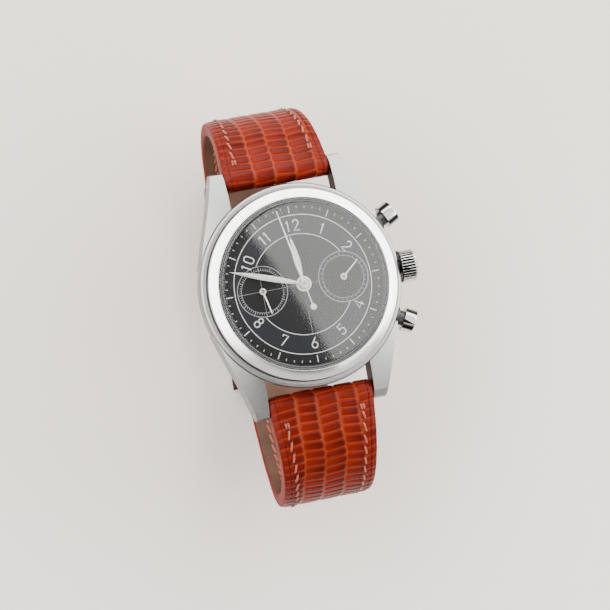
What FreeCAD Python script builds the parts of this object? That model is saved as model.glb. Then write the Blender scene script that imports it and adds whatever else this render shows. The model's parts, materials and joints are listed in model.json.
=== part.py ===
"""Hand-wound chronograph wristwatch, modelled piece by piece, in millimetres.

The watch stands buckled on its keepers and buckle, dial up: +Z out of the dial, +Y to 12 o'clock, +X to the crown.
The origin lies on the standing surface, straight below the middle of the dial. Every function below works in head
coordinates, where z = 0 is the outer face of the case back, and save() lifts each piece by STAND.
"""

import FreeCAD
import Part

import math
import os

V = FreeCAD.Vector
X, Y, Z = V(1, 0, 0), V(0, 1, 0), V(0, 0, 1)

# ---- driving dimensions, mm -------------------------------------------------------------------------------------
STAND = 33.5  # case back's outer face above the standing surface
CASE_R = 19.0
FLANGE_Z = 6.4  # top of the middle case's ring
CASE_BOTTOM_Z = 1.0
BORE_R = 16.3
BEZEL_R, BEZEL_IN_R, BEZEL_TOP_Z = 17.45, 15.85, 9.0
DIAL_R, DIAL_Z, DIAL_T = 15.6, 7.3, 0.4
DIAL_TOP = DIAL_Z + DIAL_T
LUG_IN, LUG_TIP_X, LUG_Y = 10.1, 12.4, 23.2
BAR_Y, BAR_Z = 21.3, 2.2
SUB_X = 7.72  # distance of each small dial from the middle
STEM_Z = 4.3
PUSHER_ANGLE = 28.0
PLATE_R = 15.7

# layers of the movement, from the back (low z) to the dial (high z)
CHRONO_BRIDGE = (1.05, 1.5)
BRIDGE = (3.27, 4.0)
PLATE = (4.0, 6.9)
TRAIN_FLOOR = 5.75  # bottom of the plate's pockets
MOTION_FLOOR = 6.4  # bottom of the recess under the dial

# ---- going train: teeth, modules and places ---------------------------------------------------------------------
BARREL_TEETH, CENTRE_PINION = 78, 13
CENTRE_TEETH, THIRD_PINION = 80, 10
THIRD_TEETH, FOURTH_PINION = 75, 10
FOURTH_TEETH, ESCAPE_PINION = 84, 7
ESCAPE_TEETH = 15
CANNON_TEETH, MINUTE_TEETH, MINUTE_PINION, HOUR_TEETH = 12, 36, 10, 40
WINDING_TEETH, CROWN_WHEEL_TEETH, RATCHET_TEETH = 15, 38, 79
DRIVING_TEETH, COUPLING_TEETH, RUNNER_TEETH = 90, 42, 90
COUNTER_TEETH = 60


def polar(radius, degrees, centre=(0.0, 0.0)):
    a = math.radians(degrees)
    return (centre[0] + radius * math.cos(a), centre[1] + radius * math.sin(a))


def angle_to(a, b):
    return math.degrees(math.atan2(b[1] - a[1], b[0] - a[0]))


def meet(a, ra, b, rb, side):
    """The point ra from a and rb from b, on the left (side 1) or right (side -1) of the line from a to b."""
    d = math.dist(a, b)
    along = (d * d + ra * ra - rb * rb) / (2 * d)
    off = math.sqrt(max(ra * ra - along * along, 0.0)) * side
    ux, uy = (b[0] - a[0]) / d, (b[1] - a[1]) / d
    return (a[0] + along * ux - off * uy, a[1] + along * uy + off * ux)


CENTRE = (0.0, 0.0)
FOURTH = (-SUB_X, 0.0)
COUNTER = (SUB_X, 0.0)
BARREL_MODULE = 7.0 * 2 / (BARREL_TEETH + CENTRE_PINION)
CENTRE_MODULE, THIRD_MODULE, FOURTH_MODULE = 0.095, 0.085, 0.07
BARREL = polar(7.0, 53.0)
THIRD = meet(
    CENTRE,
    CENTRE_MODULE * (CENTRE_TEETH + THIRD_PINION) / 2,
    FOURTH,
    THIRD_MODULE * (THIRD_TEETH + FOURTH_PINION) / 2,
    1,
)
ESCAPE = polar(FOURTH_MODULE * (FOURTH_TEETH + ESCAPE_PINION) / 2, 250.0, FOURTH)
PALLET = polar(2.45, 255.0, ESCAPE)
BALANCE = (-6.9, -7.7)
BALANCE_R = 4.4
KEYLESS_MODULE = 0.151
CROWN_WHEEL_R = KEYLESS_MODULE * CROWN_WHEEL_TEETH / 2
RATCHET_R = KEYLESS_MODULE * RATCHET_TEETH / 2
CROWN_WHEEL = (
    BARREL[0] + math.sqrt((CROWN_WHEEL_R + RATCHET_R) ** 2 - BARREL[1] ** 2),
    0.0,
)
WINDING_R = KEYLESS_MODULE * WINDING_TEETH / 2
WINDING_X = CROWN_WHEEL[0] + CROWN_WHEEL_R
MOTION_MODULE = 0.1
MINUTE_WHEEL = polar(MOTION_MODULE * (CANNON_TEETH + MINUTE_TEETH) / 2, -70.0)

# ---- chronograph works ------------------------------------------------------------------------------------------
CHRONO_MODULE = 0.075
DRIVING_R = CHRONO_MODULE * DRIVING_TEETH / 2
COUPLING_R = CHRONO_MODULE * COUPLING_TEETH / 2
RUNNER_R = CHRONO_MODULE * RUNNER_TEETH / 2
CLUTCH_GAP = 0.15  # the coupling wheel stands this far out of mesh with the runner while stopped
COUPLING = meet(FOURTH, DRIVING_R + COUPLING_R, CENTRE, RUNNER_R + COUPLING_R + CLUTCH_GAP, 1)
COLUMN_WHEEL = (8.9, 10.2)
COLUMN_R = 1.7
OPERATING_PIVOT = (11.4, -4.4)
HAMMER_PIVOT = (14.2, -1.9)
BRAKE_PIVOT = (-3.2, 7.6)
PUSHER_TIP_R = 14.35  # inner end of each pusher, from the middle
PUSHER_FOOT_R = 14.85

# ---- strap and buckle, in the Y-Z plane -------------------------------------------------------------------------
STRAP_W, BUCKLE_W = 20.0, 16.0
TAPER_LENGTH = 37.0
LUG_T, THIN_T = 4.0, 2.1
BUCKLE_BAR = (-4.8, -28.57)
FLAT_Z_12, FLAT_Z_6 = -28.57, -31.6  # middle of each strap half where they lie on each other
KEEPER_OUT_Z = -STAND


# ---- shape helpers ----------------------------------------------------------------------------------------------
def cyl(radius, z0, z1, at=(0.0, 0.0)):
    return Part.makeCylinder(radius, z1 - z0, V(at[0], at[1], z0), Z)


def tube(outer, inner, z0, z1, at=(0.0, 0.0)):
    return cyl(outer, z0, z1, at).cut(cyl(inner, z0 - 0.1, z1 + 0.1, at))


def rod(radius, start, end):
    """A cylinder between two points."""
    a, b = V(*start), V(*end)
    return Part.makeCylinder(radius, (b - a).Length, a, b - a)


def block(x0, x1, y0, y1, z0, z1):
    return Part.makeBox(x1 - x0, y1 - y0, z1 - z0, V(x0, y0, z0))


def prism(points, z0, z1):
    """A flat piece: the outline's points in plan, from z0 to z1."""
    wire = Part.makePolygon([V(x, y, z0) for x, y in points] + [V(*points[0], z0)])
    return Part.Face(wire).extrude(V(0, 0, z1 - z0))


def turned(profile, at=(0.0, 0.0)):
    """A body of revolution about Z from (radius, z) points."""
    wire = Part.makePolygon([V(r, 0, z) for r, z in profile] + [V(profile[0][0], 0, profile[0][1])])
    solid = Part.Face(wire).revolve(V(0, 0, 0), Z, 360)
    solid.translate(V(at[0], at[1], 0))
    return solid


def fuse(*shapes):
    whole = shapes[0]
    for s in shapes[1:]:
        whole = whole.fuse(s)
    return whole.removeSplitter()


def bar(a, b, width, z0, z1):
    """A flat link with round ends between two places in plan."""
    ux, uy = (b[0] - a[0]) / math.dist(a, b), (b[1] - a[1]) / math.dist(a, b)
    h = width / 2
    side = [
        (a[0] - uy * h, a[1] + ux * h),
        (b[0] - uy * h, b[1] + ux * h),
        (b[0] + uy * h, b[1] - ux * h),
        (a[0] + uy * h, a[1] - ux * h),
    ]
    return fuse(prism(side, z0, z1), cyl(h, z0, z1, a), cyl(h, z0, z1, b))


def chain(places, width, z0, z1):
    """Links joined end to end through the places given."""
    return fuse(*[bar(a, b, width, z0, z1) for a, b in zip(places, places[1:])])


def toothed(teeth, pitch_r, module, z0, z1, at=(0.0, 0.0), phase=0.0, height=1.7):
    """A spur-toothed disc. phase is the angle of a tooth's middle, in degrees."""
    step = 2 * math.pi / teeth
    root, tip = pitch_r - 0.55 * height * module, pitch_r + 0.45 * height * module
    points = []
    for i in range(teeth):
        a = math.radians(phase) + i * step
        for r, share in ((root, -0.27), (tip, -0.12), (tip, 0.12), (root, 0.27)):
            points.append((at[0] + r * math.cos(a + share * step), at[1] + r * math.sin(a + share * step)))
    return prism(points, z0, z1)


def mesh_phase(a, b, teeth_a, teeth_b, phase_a):
    """The phase that puts b's gaps over a's teeth on the line between them."""
    line = angle_to(a, b)
    return line + 180 - (phase_a - line) * teeth_a / teeth_b + 180 / teeth_b


def windows(wheel, at, inner, outer, count, arm, z0, z1, turn=0.0):
    """Cuts the openings between a wheel's arms."""
    ring = tube(outer, inner, z0 - 0.1, z1 + 0.1, at)
    for i in range(count):
        end = polar(outer + 1, turn + i * 360 / count, at)
        ring = ring.cut(bar(at, end, arm, z0 - 0.2, z1 + 0.2))
    return wheel.cut(ring)


def spoked(teeth, module, z0, z1, at, phase=0.0, arms=4, hub=0.6, rim=0.45, height=1.7):
    r = teeth * module / 2
    wheel = toothed(teeth, r, module, z0, z1, at, phase, height)
    return windows(wheel, at, hub, r - module - rim, arms, 0.32, z0, z1)


def arbor(at, z0, z1, radius, pivot=0.12, tip=0.35):
    """A staff with a fine pivot at each end."""
    return fuse(cyl(radius, z0 + tip, z1 - tip, at), cyl(pivot, z0, z1, at))


def spiral(at, inner, outer, turns, width, z0, z1, start=0.0):
    """A flat coiled spring strip."""
    steps = int(turns * 28)
    inside, outside = [], []
    for i in range(steps + 1):
        share = i / steps
        r, a = inner + (outer - inner) * share, start + share * turns * 360
        inside.append(polar(r - width / 2, a, at))
        outside.append(polar(r + width / 2, a, at))
    return prism(inside + outside[::-1], z0, z1)


def heart(at, z0, z1, turn):
    """The cam that the reset hammer falls on."""
    points = []
    for i in range(36):
        a = i * 10
        swing = abs((a + 180) % 360 - 180) / 180
        points.append(polar(0.45 + 0.75 * swing, a + turn, at))
    return prism(points, z0, z1)


# ---- case -------------------------------------------------------------------------------------------------------
def radial_cut(radius, r0, r1, degrees, z=STEM_Z):
    a, b = polar(r0, degrees), polar(r1, degrees)
    return rod(radius, (*a, z), (*b, z))


def lug(sx, sy):
    """One lug, with a bent-down tip, as a plan outline cut by a side outline."""
    plan = [
        (sx * LUG_IN, sy * 13.0),
        (sx * LUG_IN, sy * LUG_Y),
        (sx * LUG_TIP_X, sy * LUG_Y),
        (sx * 14.1, sy * 17.6),
        (sx * 16.55, sy * 10.4),
        (sx * 17.9, sy * 6.0),
        (sx * 15.0, sy * 6.0),
    ]
    body = prism(plan, -1.5, FLANGE_Z)
    side = [(5.5, 5.75), (13.0, 5.75), (18.5, 5.25), (21.7, 4.25), (22.9, 3.1), (23.2, 2.0)]
    side += [(23.2, 0.1), (22.4, -0.5), (19.0, 0.35), (15.0, 1.0), (5.5, 1.0)]
    wire = Part.makePolygon([V(0, sy * y, z) for y, z in side + side[:1]])
    return body.common(Part.Face(wire).extrude(V(sx * 25, 0, 0)))


def mid_case():
    ring = turned(
        [
            (BORE_R, CASE_BOTTOM_Z),
            (BORE_R, 7.6),
            (16.95, 7.6),
            (16.95, FLANGE_Z),
            (18.45, FLANGE_Z),
            (18.8, 6.25),
            (CASE_R, 5.9),
            (CASE_R, 5.55),
            (18.85, 5.4),
            (18.85, 2.4),
            (18.2, CASE_BOTTOM_Z),
        ]
    )
    inside = cyl(18.0, 0.0, 8.0)
    for sx in (1, -1):
        for sy in (1, -1):
            ring = ring.fuse(lug(sx, sy).cut(inside))
    for sy in (1, -1):
        ring = ring.cut(rod(0.5, (-20, sy * BAR_Y, BAR_Z), (20, sy * BAR_Y, BAR_Z)))
    ring = ring.cut(rod(1.3, (14, 0, STEM_Z), (20, 0, STEM_Z)))
    ring = ring.cut(rod(3.2, (18.55, 0, STEM_Z), (20, 0, STEM_Z)))
    for degrees in (PUSHER_ANGLE, -PUSHER_ANGLE):
        ring = ring.cut(radial_cut(1.75, 14, 20.5, degrees))
    return ring.removeSplitter()


def bezel():
    return turned(
        [
            (17.0, 6.43),
            (17.45, 6.43),
            (BEZEL_R, 8.25),
            (17.25, 8.42),
            (16.0, BEZEL_TOP_Z),
            (BEZEL_IN_R, 8.92),
            (BEZEL_IN_R, 7.65),
            (17.0, 7.65),
        ]
    )


def dome(radius, edge_z, rise):
    """A solid cap of a sphere standing on a disc at edge_z."""
    ball = (radius * radius + rise * rise) / (2 * rise)
    cap = Part.makeSphere(ball, V(0, 0, edge_z + rise - ball))
    return cap.common(cyl(radius, edge_z, edge_z + rise + 0.1))


def crystal():
    outer = fuse(cyl(15.8, 7.95, 10.1), turned([(0, 10.1), (15.8, 10.1), (15.45, 10.6), (0, 10.6)]), dome(15.45, 10.6, 1.9))
    inner = fuse(cyl(15.0, 7.9, 9.9), dome(15.0, 9.9, 1.5))
    return outer.cut(inner)


def crystal_seat():
    return tube(15.8, 15.0, 7.72, 7.93)


def case_back():
    back = turned([(0, 0), (16.9, 0), (17.5, 0.35), (17.5, 0.97), (16.2, 0.97), (16.2, 2.3), (15.4, 2.3), (15.4, 0.75), (0, 0.75)])
    back = back.cut(tube(17.1, 16.5, 0.7, 1.2))
    for i in range(6):
        a = polar(17.3, 60 * i + 30)
        back = back.cut(cyl(0.9, -0.1, 0.45, a))
    ring = tube(15.2, 14.9, -0.1, 0.08)
    return back.cut(ring)


def case_back_gasket():
    return tube(17.08, 16.52, 0.71, 0.99)


def movement_ring():
    ring = tube(16.25, 15.78, 2.4, DIAL_Z - 0.05)
    ring = ring.cut(rod(1.35, (14, 0, STEM_Z), (18, 0, STEM_Z))).cut(block(15, 17, -1, 1.4, 6.3, 6.85))
    for degrees in (PUSHER_ANGLE, -PUSHER_ANGLE):
        ring = ring.cut(radial_cut(1.8, 14, 18, degrees))
    return ring


def case_tubes():
    """Crown tube and the two pusher tubes, pressed into the middle case."""
    crown_tube = rod(1.27, (16.35, 0, STEM_Z), (19.6, 0, STEM_Z)).cut(rod(0.75, (15, 0, STEM_Z), (21, 0, STEM_Z)))
    tubes = [crown_tube]
    for degrees in (PUSHER_ANGLE, -PUSHER_ANGLE):
        tubes.append(radial_cut(1.72, 16.4, 19.35, degrees).cut(radial_cut(1.4, 14, 21, degrees)))
    return Part.makeCompound(tubes)


def dial():
    plate = cyl(DIAL_R, DIAL_Z, DIAL_TOP)
    for at in (FOURTH, COUNTER):
        plate = plate.cut(cyl(4.67, DIAL_TOP - 0.1, DIAL_TOP + 0.1, at))
        plate = plate.cut(cyl(0.42, DIAL_Z - 0.1, DIAL_TOP, at))
    plate = plate.cut(cyl(1.25, DIAL_Z - 0.1, DIAL_TOP + 0.1))
    feet = [cyl(0.35, 6.0, DIAL_Z, polar(13.4, a)) for a in (75, 255)]
    return fuse(plate, *feet)


# ---- hands ------------------------------------------------------------------------------------------------------
HOUR, MINUTE = 11 + 48.2 / 60, 48.2
CHRONO_SECONDS, SMALL_SECONDS, COUNTER_MINUTES = 58.3, 27.8, 4.2


def clock_angle(turn):
    """A share of a turn from 12 o'clock, clockwise, as an angle from +X."""
    return 90 - 360 * turn


def leaf(length, width, z0, z1, degrees, start=0.6):
    """A leaf-shaped hand blade from the middle."""
    left, right = [], []
    for i in range(13):
        share = i / 12
        half = 0.09 + (width / 2 - 0.09) * math.sin(math.pi * share ** 0.85) ** 1.15
        half *= 1 - 0.35 * share
        along = start + (length - start) * share
        left.append((along, half))
        right.append((along, -half))
    blade = prism(left + right[::-1], z0, z1)
    blade.rotate(V(0, 0, 0), Z, degrees)
    return blade


def hour_hand():
    at = clock_angle(HOUR / 12)
    hand = fuse(leaf(9.15, 1.15, 8.3, 8.42, at), cyl(1.42, 8.3, 8.42))
    return hand.cut(cyl(0.92, 8.0, 8.6))


def minute_hand():
    at = clock_angle(MINUTE / 60)
    hand = fuse(leaf(14.05, 1.05, 8.62, 8.74, at), cyl(1.1, 8.62, 8.74))
    return hand.cut(cyl(0.62, 8.5, 8.9))


def straight_hand(at, length, tail, width, z0, z1, degrees, boss, hole):
    """A thin hand with a round boss and, if tail is over 0, a counterweight disc."""
    tapered = [(0, width / 2), (length, width / 5), (length, -width / 5), (0, -width / 2)]
    hand = fuse(prism(tapered, z0, z1), cyl(boss, z0, z1))
    if tail:
        hand = fuse(hand, prism([(-tail, width / 2.6), (0, width / 2), (0, -width / 2), (-tail, -width / 2.6)], z0, z1))
        hand = fuse(hand, cyl(0.6, z0, z1, (-tail, 0)))
    hand = hand.cut(cyl(hole, z0 - 0.1, z1 + 0.1))
    hand.rotate(V(0, 0, 0), Z, degrees)
    hand.translate(V(at[0], at[1], 0))
    return hand


def chronograph_hand():
    return straight_hand(CENTRE, 14.25, 4.55, 0.3, 8.95, 9.07, clock_angle(CHRONO_SECONDS / 60), 0.62, 0.26)


def small_seconds_hand():
    return straight_hand(FOURTH, 4.3, 0, 0.2, 7.95, 8.05, clock_angle(SMALL_SECONDS / 60), 0.62, 0.15)


def minute_counter_hand():
    return straight_hand(COUNTER, 4.1, 0, 0.2, 7.95, 8.05, clock_angle(COUNTER_MINUTES / 30), 0.62, 0.15)


# ---- going train ------------------------------------------------------------------------------------------------
CENTRE_PHASE = 0.0
CENTRE_PINION_PHASE = 0.0
BARREL_PHASE = mesh_phase(CENTRE, BARREL, CENTRE_PINION, BARREL_TEETH, CENTRE_PINION_PHASE)
THIRD_PINION_PHASE = mesh_phase(CENTRE, THIRD, CENTRE_TEETH, THIRD_PINION, CENTRE_PHASE)
THIRD_PHASE = 0.0
FOURTH_PINION_PHASE = mesh_phase(THIRD, FOURTH, THIRD_TEETH, FOURTH_PINION, THIRD_PHASE)
FOURTH_PHASE = 0.0
ESCAPE_PINION_PHASE = mesh_phase(FOURTH, ESCAPE, FOURTH_TEETH, ESCAPE_PINION, FOURTH_PHASE)


def barrel():
    drum_r = BARREL_TEETH * BARREL_MODULE / 2
    rim = toothed(BARREL_TEETH, drum_r, BARREL_MODULE, 4.7, 5.0, BARREL, BARREL_PHASE)
    drum = cyl(drum_r - 0.25, 4.12, 5.2, BARREL)
    hollow = cyl(drum_r - 0.5, 4.3, 5.05, BARREL)
    return fuse(rim, drum).cut(hollow).cut(cyl(0.62, 4.0, 5.4, BARREL))


def mainspring():
    return spiral(BARREL, 0.95, 5.35, 9, 0.12, 4.38, 4.98)


def ratchet_wheel():
    """Ratchet wheel on the square of the barrel arbor, with its screw."""
    phase = mesh_phase(CROWN_WHEEL, BARREL, CROWN_WHEEL_TEETH, RATCHET_TEETH, 180.0 / CROWN_WHEEL_TEETH)
    wheel = toothed(RATCHET_TEETH, RATCHET_R, KEYLESS_MODULE, 2.95, 3.2, BARREL, phase)
    arbor_rod = fuse(cyl(0.58, 3.2, 5.3, BARREL), cyl(0.4, 5.3, 6.1, BARREL), cyl(0.8, 4.35, 5.0, BARREL))
    screw = cyl(0.95, 2.8, 2.95, BARREL).cut(block(BARREL[0] - 1, BARREL[0] + 1, BARREL[1] - 0.1, BARREL[1] + 0.1, 2.7, 2.86))
    return fuse(wheel, arbor_rod, screw)


def centre_wheel():
    """Centre wheel, its hollow pinion and the cannon pinion that carries the minute hand."""
    wheel = spoked(CENTRE_TEETH, CENTRE_MODULE, 5.38, 5.56, CENTRE, CENTRE_PHASE, 5, 1.1)
    pinion = toothed(CENTRE_PINION, CENTRE_PINION * BARREL_MODULE / 2, BARREL_MODULE, 4.62, 5.08, CENTRE, CENTRE_PINION_PHASE)
    body = [cyl(0.62, 4.1, 6.45), cyl(1.1, 5.08, 5.6), cyl(0.55, 3.5, 4.2)]
    cannon = [toothed(CANNON_TEETH, CANNON_TEETH * MOTION_MODULE / 2, MOTION_MODULE, 6.45, 6.95), cyl(0.6, 6.9, 8.8)]
    return fuse(wheel, pinion, *body, *cannon).cut(cyl(0.34, 3.0, 9.0))


def third_wheel():
    wheel = spoked(THIRD_TEETH, THIRD_MODULE, 4.2, 4.36, THIRD, THIRD_PHASE, 4, 0.45)
    pinion = toothed(THIRD_PINION, THIRD_PINION * CENTRE_MODULE / 2, CENTRE_MODULE, 5.3, 5.64, THIRD, THIRD_PINION_PHASE)
    return fuse(wheel, pinion, arbor(THIRD, 3.6, 6.05, 0.26))


def fourth_wheel():
    """Fourth wheel: its arbor carries the small seconds hand in front and the driving wheel behind."""
    wheel = spoked(FOURTH_TEETH, FOURTH_MODULE, 4.7, 4.86, FOURTH, FOURTH_PHASE, 4, 0.45)
    pinion = toothed(FOURTH_PINION, FOURTH_PINION * THIRD_MODULE / 2, THIRD_MODULE, 4.14, 4.46, FOURTH, FOURTH_PINION_PHASE)
    driving = spoked(DRIVING_TEETH, CHRONO_MODULE, 2.55, 2.75, FOURTH, 0.0, 4, 0.45)
    staff = fuse(cyl(0.24, 2.5, 5.7, FOURTH), cyl(0.14, 5.7, 8.15, FOURTH))
    return fuse(wheel, pinion, driving, staff)


def escape_wheel():
    """Fifteen pointed teeth, on a seven-leaf pinion."""
    step, points = 360 / ESCAPE_TEETH, []
    for i in range(ESCAPE_TEETH):
        a = i * step
        for r, off in ((1.32, -0.30 * step), (1.36, 0.0), (1.86, 0.34 * step), (1.9, 0.42 * step), (1.5, 0.36 * step)):
            points.append(polar(r, a + off, ESCAPE))
    wheel = windows(prism(points, 5.16, 5.28), ESCAPE, 0.35, 1.12, 4, 0.2, 5.16, 5.28)
    pinion = toothed(ESCAPE_PINION, ESCAPE_PINION * FOURTH_MODULE / 2, FOURTH_MODULE, 4.6, 4.96, ESCAPE, ESCAPE_PINION_PHASE)
    return fuse(wheel, pinion, arbor(ESCAPE, 3.6, 6.05, 0.16, 0.1))


def pallet_fork():
    """Anchor with two pallets at the escape wheel and a fork at the balance roller."""
    to_escape, to_balance = angle_to(PALLET, ESCAPE), angle_to(PALLET, BALANCE)
    z0, z1 = 5.15, 5.27
    parts = [cyl(0.3, z0, z1, PALLET), arbor(PALLET, 4.55, 6.05, 0.14, 0.1)]
    for side in (1, -1):
        pad = meet(PALLET, 1.62, ESCAPE, 1.87, side)
        inner = polar(0.55, to_escape + side * 75, PALLET)
        parts += [bar(PALLET, inner, 0.3, z0, z1), bar(inner, pad, 0.22, z0, z1)]
    reach = math.dist(PALLET, BALANCE) - 0.75
    parts.append(bar(PALLET, polar(reach - 0.45, to_balance, PALLET), 0.24, z0, z1))
    neck = polar(reach - 0.45, to_balance, PALLET)
    for side in (1, -1):
        root = polar(0.25, to_balance + side * 90, neck)
        tip = polar(0.42, to_balance + side * 6, root)
        parts += [bar(neck, root, 0.14, z0, z1), bar(root, tip, 0.12, z0, z1)]
    return fuse(*parts)


def balance_wheel():
    """Three-armed balance with timing screws, staff, roller and impulse pin."""
    z0, z1 = 3.42, 3.82
    rim = tube(BALANCE_R, BALANCE_R - 0.42, z0, z1, BALANCE)
    arms = [bar(BALANCE, polar(BALANCE_R - 0.2, a, BALANCE), 0.45, z0 + 0.1, z0 + 0.25) for a in (30, 150, 270)]
    screws = []
    for i in range(12):
        a, b = polar(BALANCE_R - 0.1, 30 * i + 15, BALANCE), polar(BALANCE_R + 0.25, 30 * i + 15, BALANCE)
        screws.append(rod(0.14, (*a, 3.62), (*b, 3.62)))
    pin = polar(0.75, angle_to(BALANCE, PALLET), BALANCE)
    staff = [arbor(BALANCE, 2.4, 6.1, 0.28, 0.09, 0.4), cyl(0.95, 4.7, 4.85, BALANCE), cyl(0.11, 4.8, 5.3, pin)]
    return fuse(rim, *arms, *screws, *staff)


def hairspring():
    stud = polar(2.75, 40, BALANCE)
    return fuse(spiral(BALANCE, 0.6, 2.75, 10, 0.05, 3.0, 3.14, 40), cyl(0.16, 2.7, 3.14, stud))


def minute_wheel():
    phase = mesh_phase(CENTRE, MINUTE_WHEEL, CANNON_TEETH, MINUTE_TEETH, 0.0)
    wheel = toothed(MINUTE_TEETH, MINUTE_TEETH * MOTION_MODULE / 2, MOTION_MODULE, 6.5, 6.68, MINUTE_WHEEL, phase)
    pinion = toothed(MINUTE_PINION, MINUTE_PINION_R, MINUTE_PINION_R * 2 / MINUTE_PINION, 6.68, 7.15, MINUTE_WHEEL)
    return fuse(wheel, pinion).cut(cyl(0.22, 6.0, 7.5, MINUTE_WHEEL))


MINUTE_PINION_R = math.dist(CENTRE, MINUTE_WHEEL) * MINUTE_PINION / (MINUTE_PINION + HOUR_TEETH)
HOUR_R = math.dist(CENTRE, MINUTE_WHEEL) - MINUTE_PINION_R


def hour_wheel():
    phase = mesh_phase(MINUTE_WHEEL, CENTRE, MINUTE_PINION, HOUR_TEETH, 0.0)
    wheel = toothed(HOUR_TEETH, HOUR_R, HOUR_R * 2 / HOUR_TEETH, 7.02, 7.18, CENTRE, phase)
    return fuse(wheel, cyl(0.9, 7.0, 8.5)).cut(cyl(0.66, 6.5, 9.0))


# ---- keyless works ----------------------------------------------------------------------------------------------
def along_x(shape, x):
    """Turns a piece made on the Z axis to lie on the stem's axis with its z = 0 end at x."""
    shape.rotate(V(0, 0, 0), Y, 90)
    shape.translate(V(x, 0, STEM_Z))
    return shape


def winding_stem():
    """Pilot, square for the clutch wheel, round seat for the winding pinion, groove, and the outer length."""
    rounds = [(0.3, 8.7, 10.3), (0.55, 13.1, 14.3), (0.38, 14.2, 15.0), (0.55, 14.9, 16.3), (0.6, 16.2, 20.7)]
    h = 0.37
    square = along_x(prism([(-h, -h), (h, -h), (h, h), (-h, h)], 0, 3.0), 10.2)
    return fuse(square, *[along_x(cyl(r, 0, x1 - x0), x0) for r, x0, x1 in rounds])


def crown():
    """Fluted crown; its skirt hides the tube."""
    flutes, radius, length = 36, 3.1, 3.1
    body = toothed(flutes, radius - 0.12, 0.17, 0, length)
    blank = turned([(0, 0), (2.85, 0), (3.1, 0.25), (3.1, 2.7), (2.7, length), (0, length)])
    body = body.common(blank)
    body = body.cut(cyl(1.45, -0.1, 1.15)).cut(cyl(0.6, 0, 1.55))
    return along_x(body, 19.15)


def winding_pinion():
    body = toothed(WINDING_TEETH, WINDING_R, KEYLESS_MODULE, 0, 0.5)
    lower = fuse(body, cyl(0.85, -0.3, 0))
    return along_x(lower.cut(cyl(0.58, -1, 2)), WINDING_X - 0.13)


def clutch_wheel():
    body = fuse(toothed(WINDING_TEETH, 0.68, 0.09, 0, 0.5), cyl(0.66, 0.5, 1.0), cyl(0.76, 1.0, 1.45))
    h = 0.4
    hole = prism([(-h, -h), (h, -h), (h, h), (-h, h)], -1, 3)
    return along_x(body.cut(hole), 11.4)


def crown_wheel():
    wheel = toothed(CROWN_WHEEL_TEETH, CROWN_WHEEL_R, KEYLESS_MODULE, 2.95, 3.2, CROWN_WHEEL, 180.0 / CROWN_WHEEL_TEETH)
    screw = cyl(0.8, 2.8, 2.95, CROWN_WHEEL).cut(
        block(CROWN_WHEEL[0] - 0.9, CROWN_WHEEL[0] + 0.9, -0.1, 0.1, 2.7, 2.86)
    )
    return fuse(wheel, screw, cyl(0.5, 3.2, 3.42, CROWN_WHEEL))


SETTING_PIVOT = (12.5, 3.4)
SETTING_PIN = (14.6, -0.25)
SETTING_ROUTE = [(11.5, 4.9), SETTING_PIVOT, SETTING_PIN]


def setting_lever():
    """Lever on the dial side whose pin sits in the stem's groove."""
    arm = fuse(chain(SETTING_ROUTE, 0.5, 6.45, 6.7), cyl(0.6, 6.45, 6.7, SETTING_PIVOT))
    return fuse(arm, cyl(0.2, STEM_Z + 0.41, 6.5, SETTING_PIN))


CLICK = polar(RATCHET_R + 1.35, 112, BARREL)


def click():
    """Click and its spring on the barrel bridge, beside the ratchet wheel."""
    beak = polar(RATCHET_R + 0.26, 101, BARREL)
    body = fuse(cyl(0.55, 2.95, 3.22, CLICK), bar(CLICK, beak, 0.28, 2.95, 3.22))
    tail = chain([polar(0.5, 160, CLICK), polar(1.6, 175, CLICK), polar(2.4, 215, CLICK)], 0.14, 2.98, 3.2)
    return fuse(body, tail, cyl(0.3, 2.75, 3.8, CLICK))


# ---- chronograph works ------------------------------------------------------------------------------------------
COUPLING_PHASE = mesh_phase(FOURTH, COUPLING, DRIVING_TEETH, COUPLING_TEETH, 0.0)
RUNNER_PHASE = mesh_phase(COUPLING, CENTRE, COUPLING_TEETH, RUNNER_TEETH, COUPLING_PHASE)


def chronograph_runner():
    """Centre runner: fine-toothed wheel, heart cam, finger, and the arbor of the chronograph hand."""
    wheel = spoked(RUNNER_TEETH, CHRONO_MODULE, 1.65, 1.82, CENTRE, RUNNER_PHASE, 5, 0.7)
    turn = clock_angle(CHRONO_SECONDS / 60)
    cam = heart(CENTRE, 2.45, 2.72, turn - 180)
    finger = bar(CENTRE, polar(1.9, turn + 200), 0.2, 2.1, 2.25)
    return fuse(wheel, cam, finger, cyl(0.45, 1.65, 3.2), cyl(0.26, 3.1, 9.2), cyl(0.13, 1.2, 1.8))


def minute_counter_wheel():
    wheel = spoked(COUNTER_TEETH, 0.1, 2.1, 2.26, COUNTER, 0.0, 4, 0.6)
    cam = heart(COUNTER, 2.45, 2.72, clock_angle(COUNTER_MINUTES / 30) - 180)
    return fuse(wheel, cam, cyl(0.4, 2.05, 3.1, COUNTER), cyl(0.14, 1.2, 8.15, COUNTER), cyl(0.2, 3.0, 5.9, COUNTER))


def column_wheel():
    """Ratchet of twelve teeth with six columns standing on it."""
    teeth, points = 12, []
    for i in range(teeth):
        a = i * 360 / teeth
        points += [polar(COLUMN_R, a, COLUMN_WHEEL), polar(COLUMN_R - 0.35, a + 3, COLUMN_WHEEL)]
    wheel = prism(points, 1.6, 2.0)
    beak = angle_to(COLUMN_WHEEL, CLUTCH_BEAK)
    for i in range(6):
        edge = beak - 20 + i * 60
        rim = [polar(1.42, edge + 4 * k, COLUMN_WHEEL) for k in range(7)]
        root = [polar(0.8, edge + 24 - 8 * k, COLUMN_WHEEL) for k in range(4)]
        wheel = wheel.fuse(prism(rim + root, 1.9, 2.75))
    return fuse(wheel, cyl(0.45, 1.5, 2.75, COLUMN_WHEEL), cyl(0.28, 2.7, 3.75, COLUMN_WHEEL))


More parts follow.
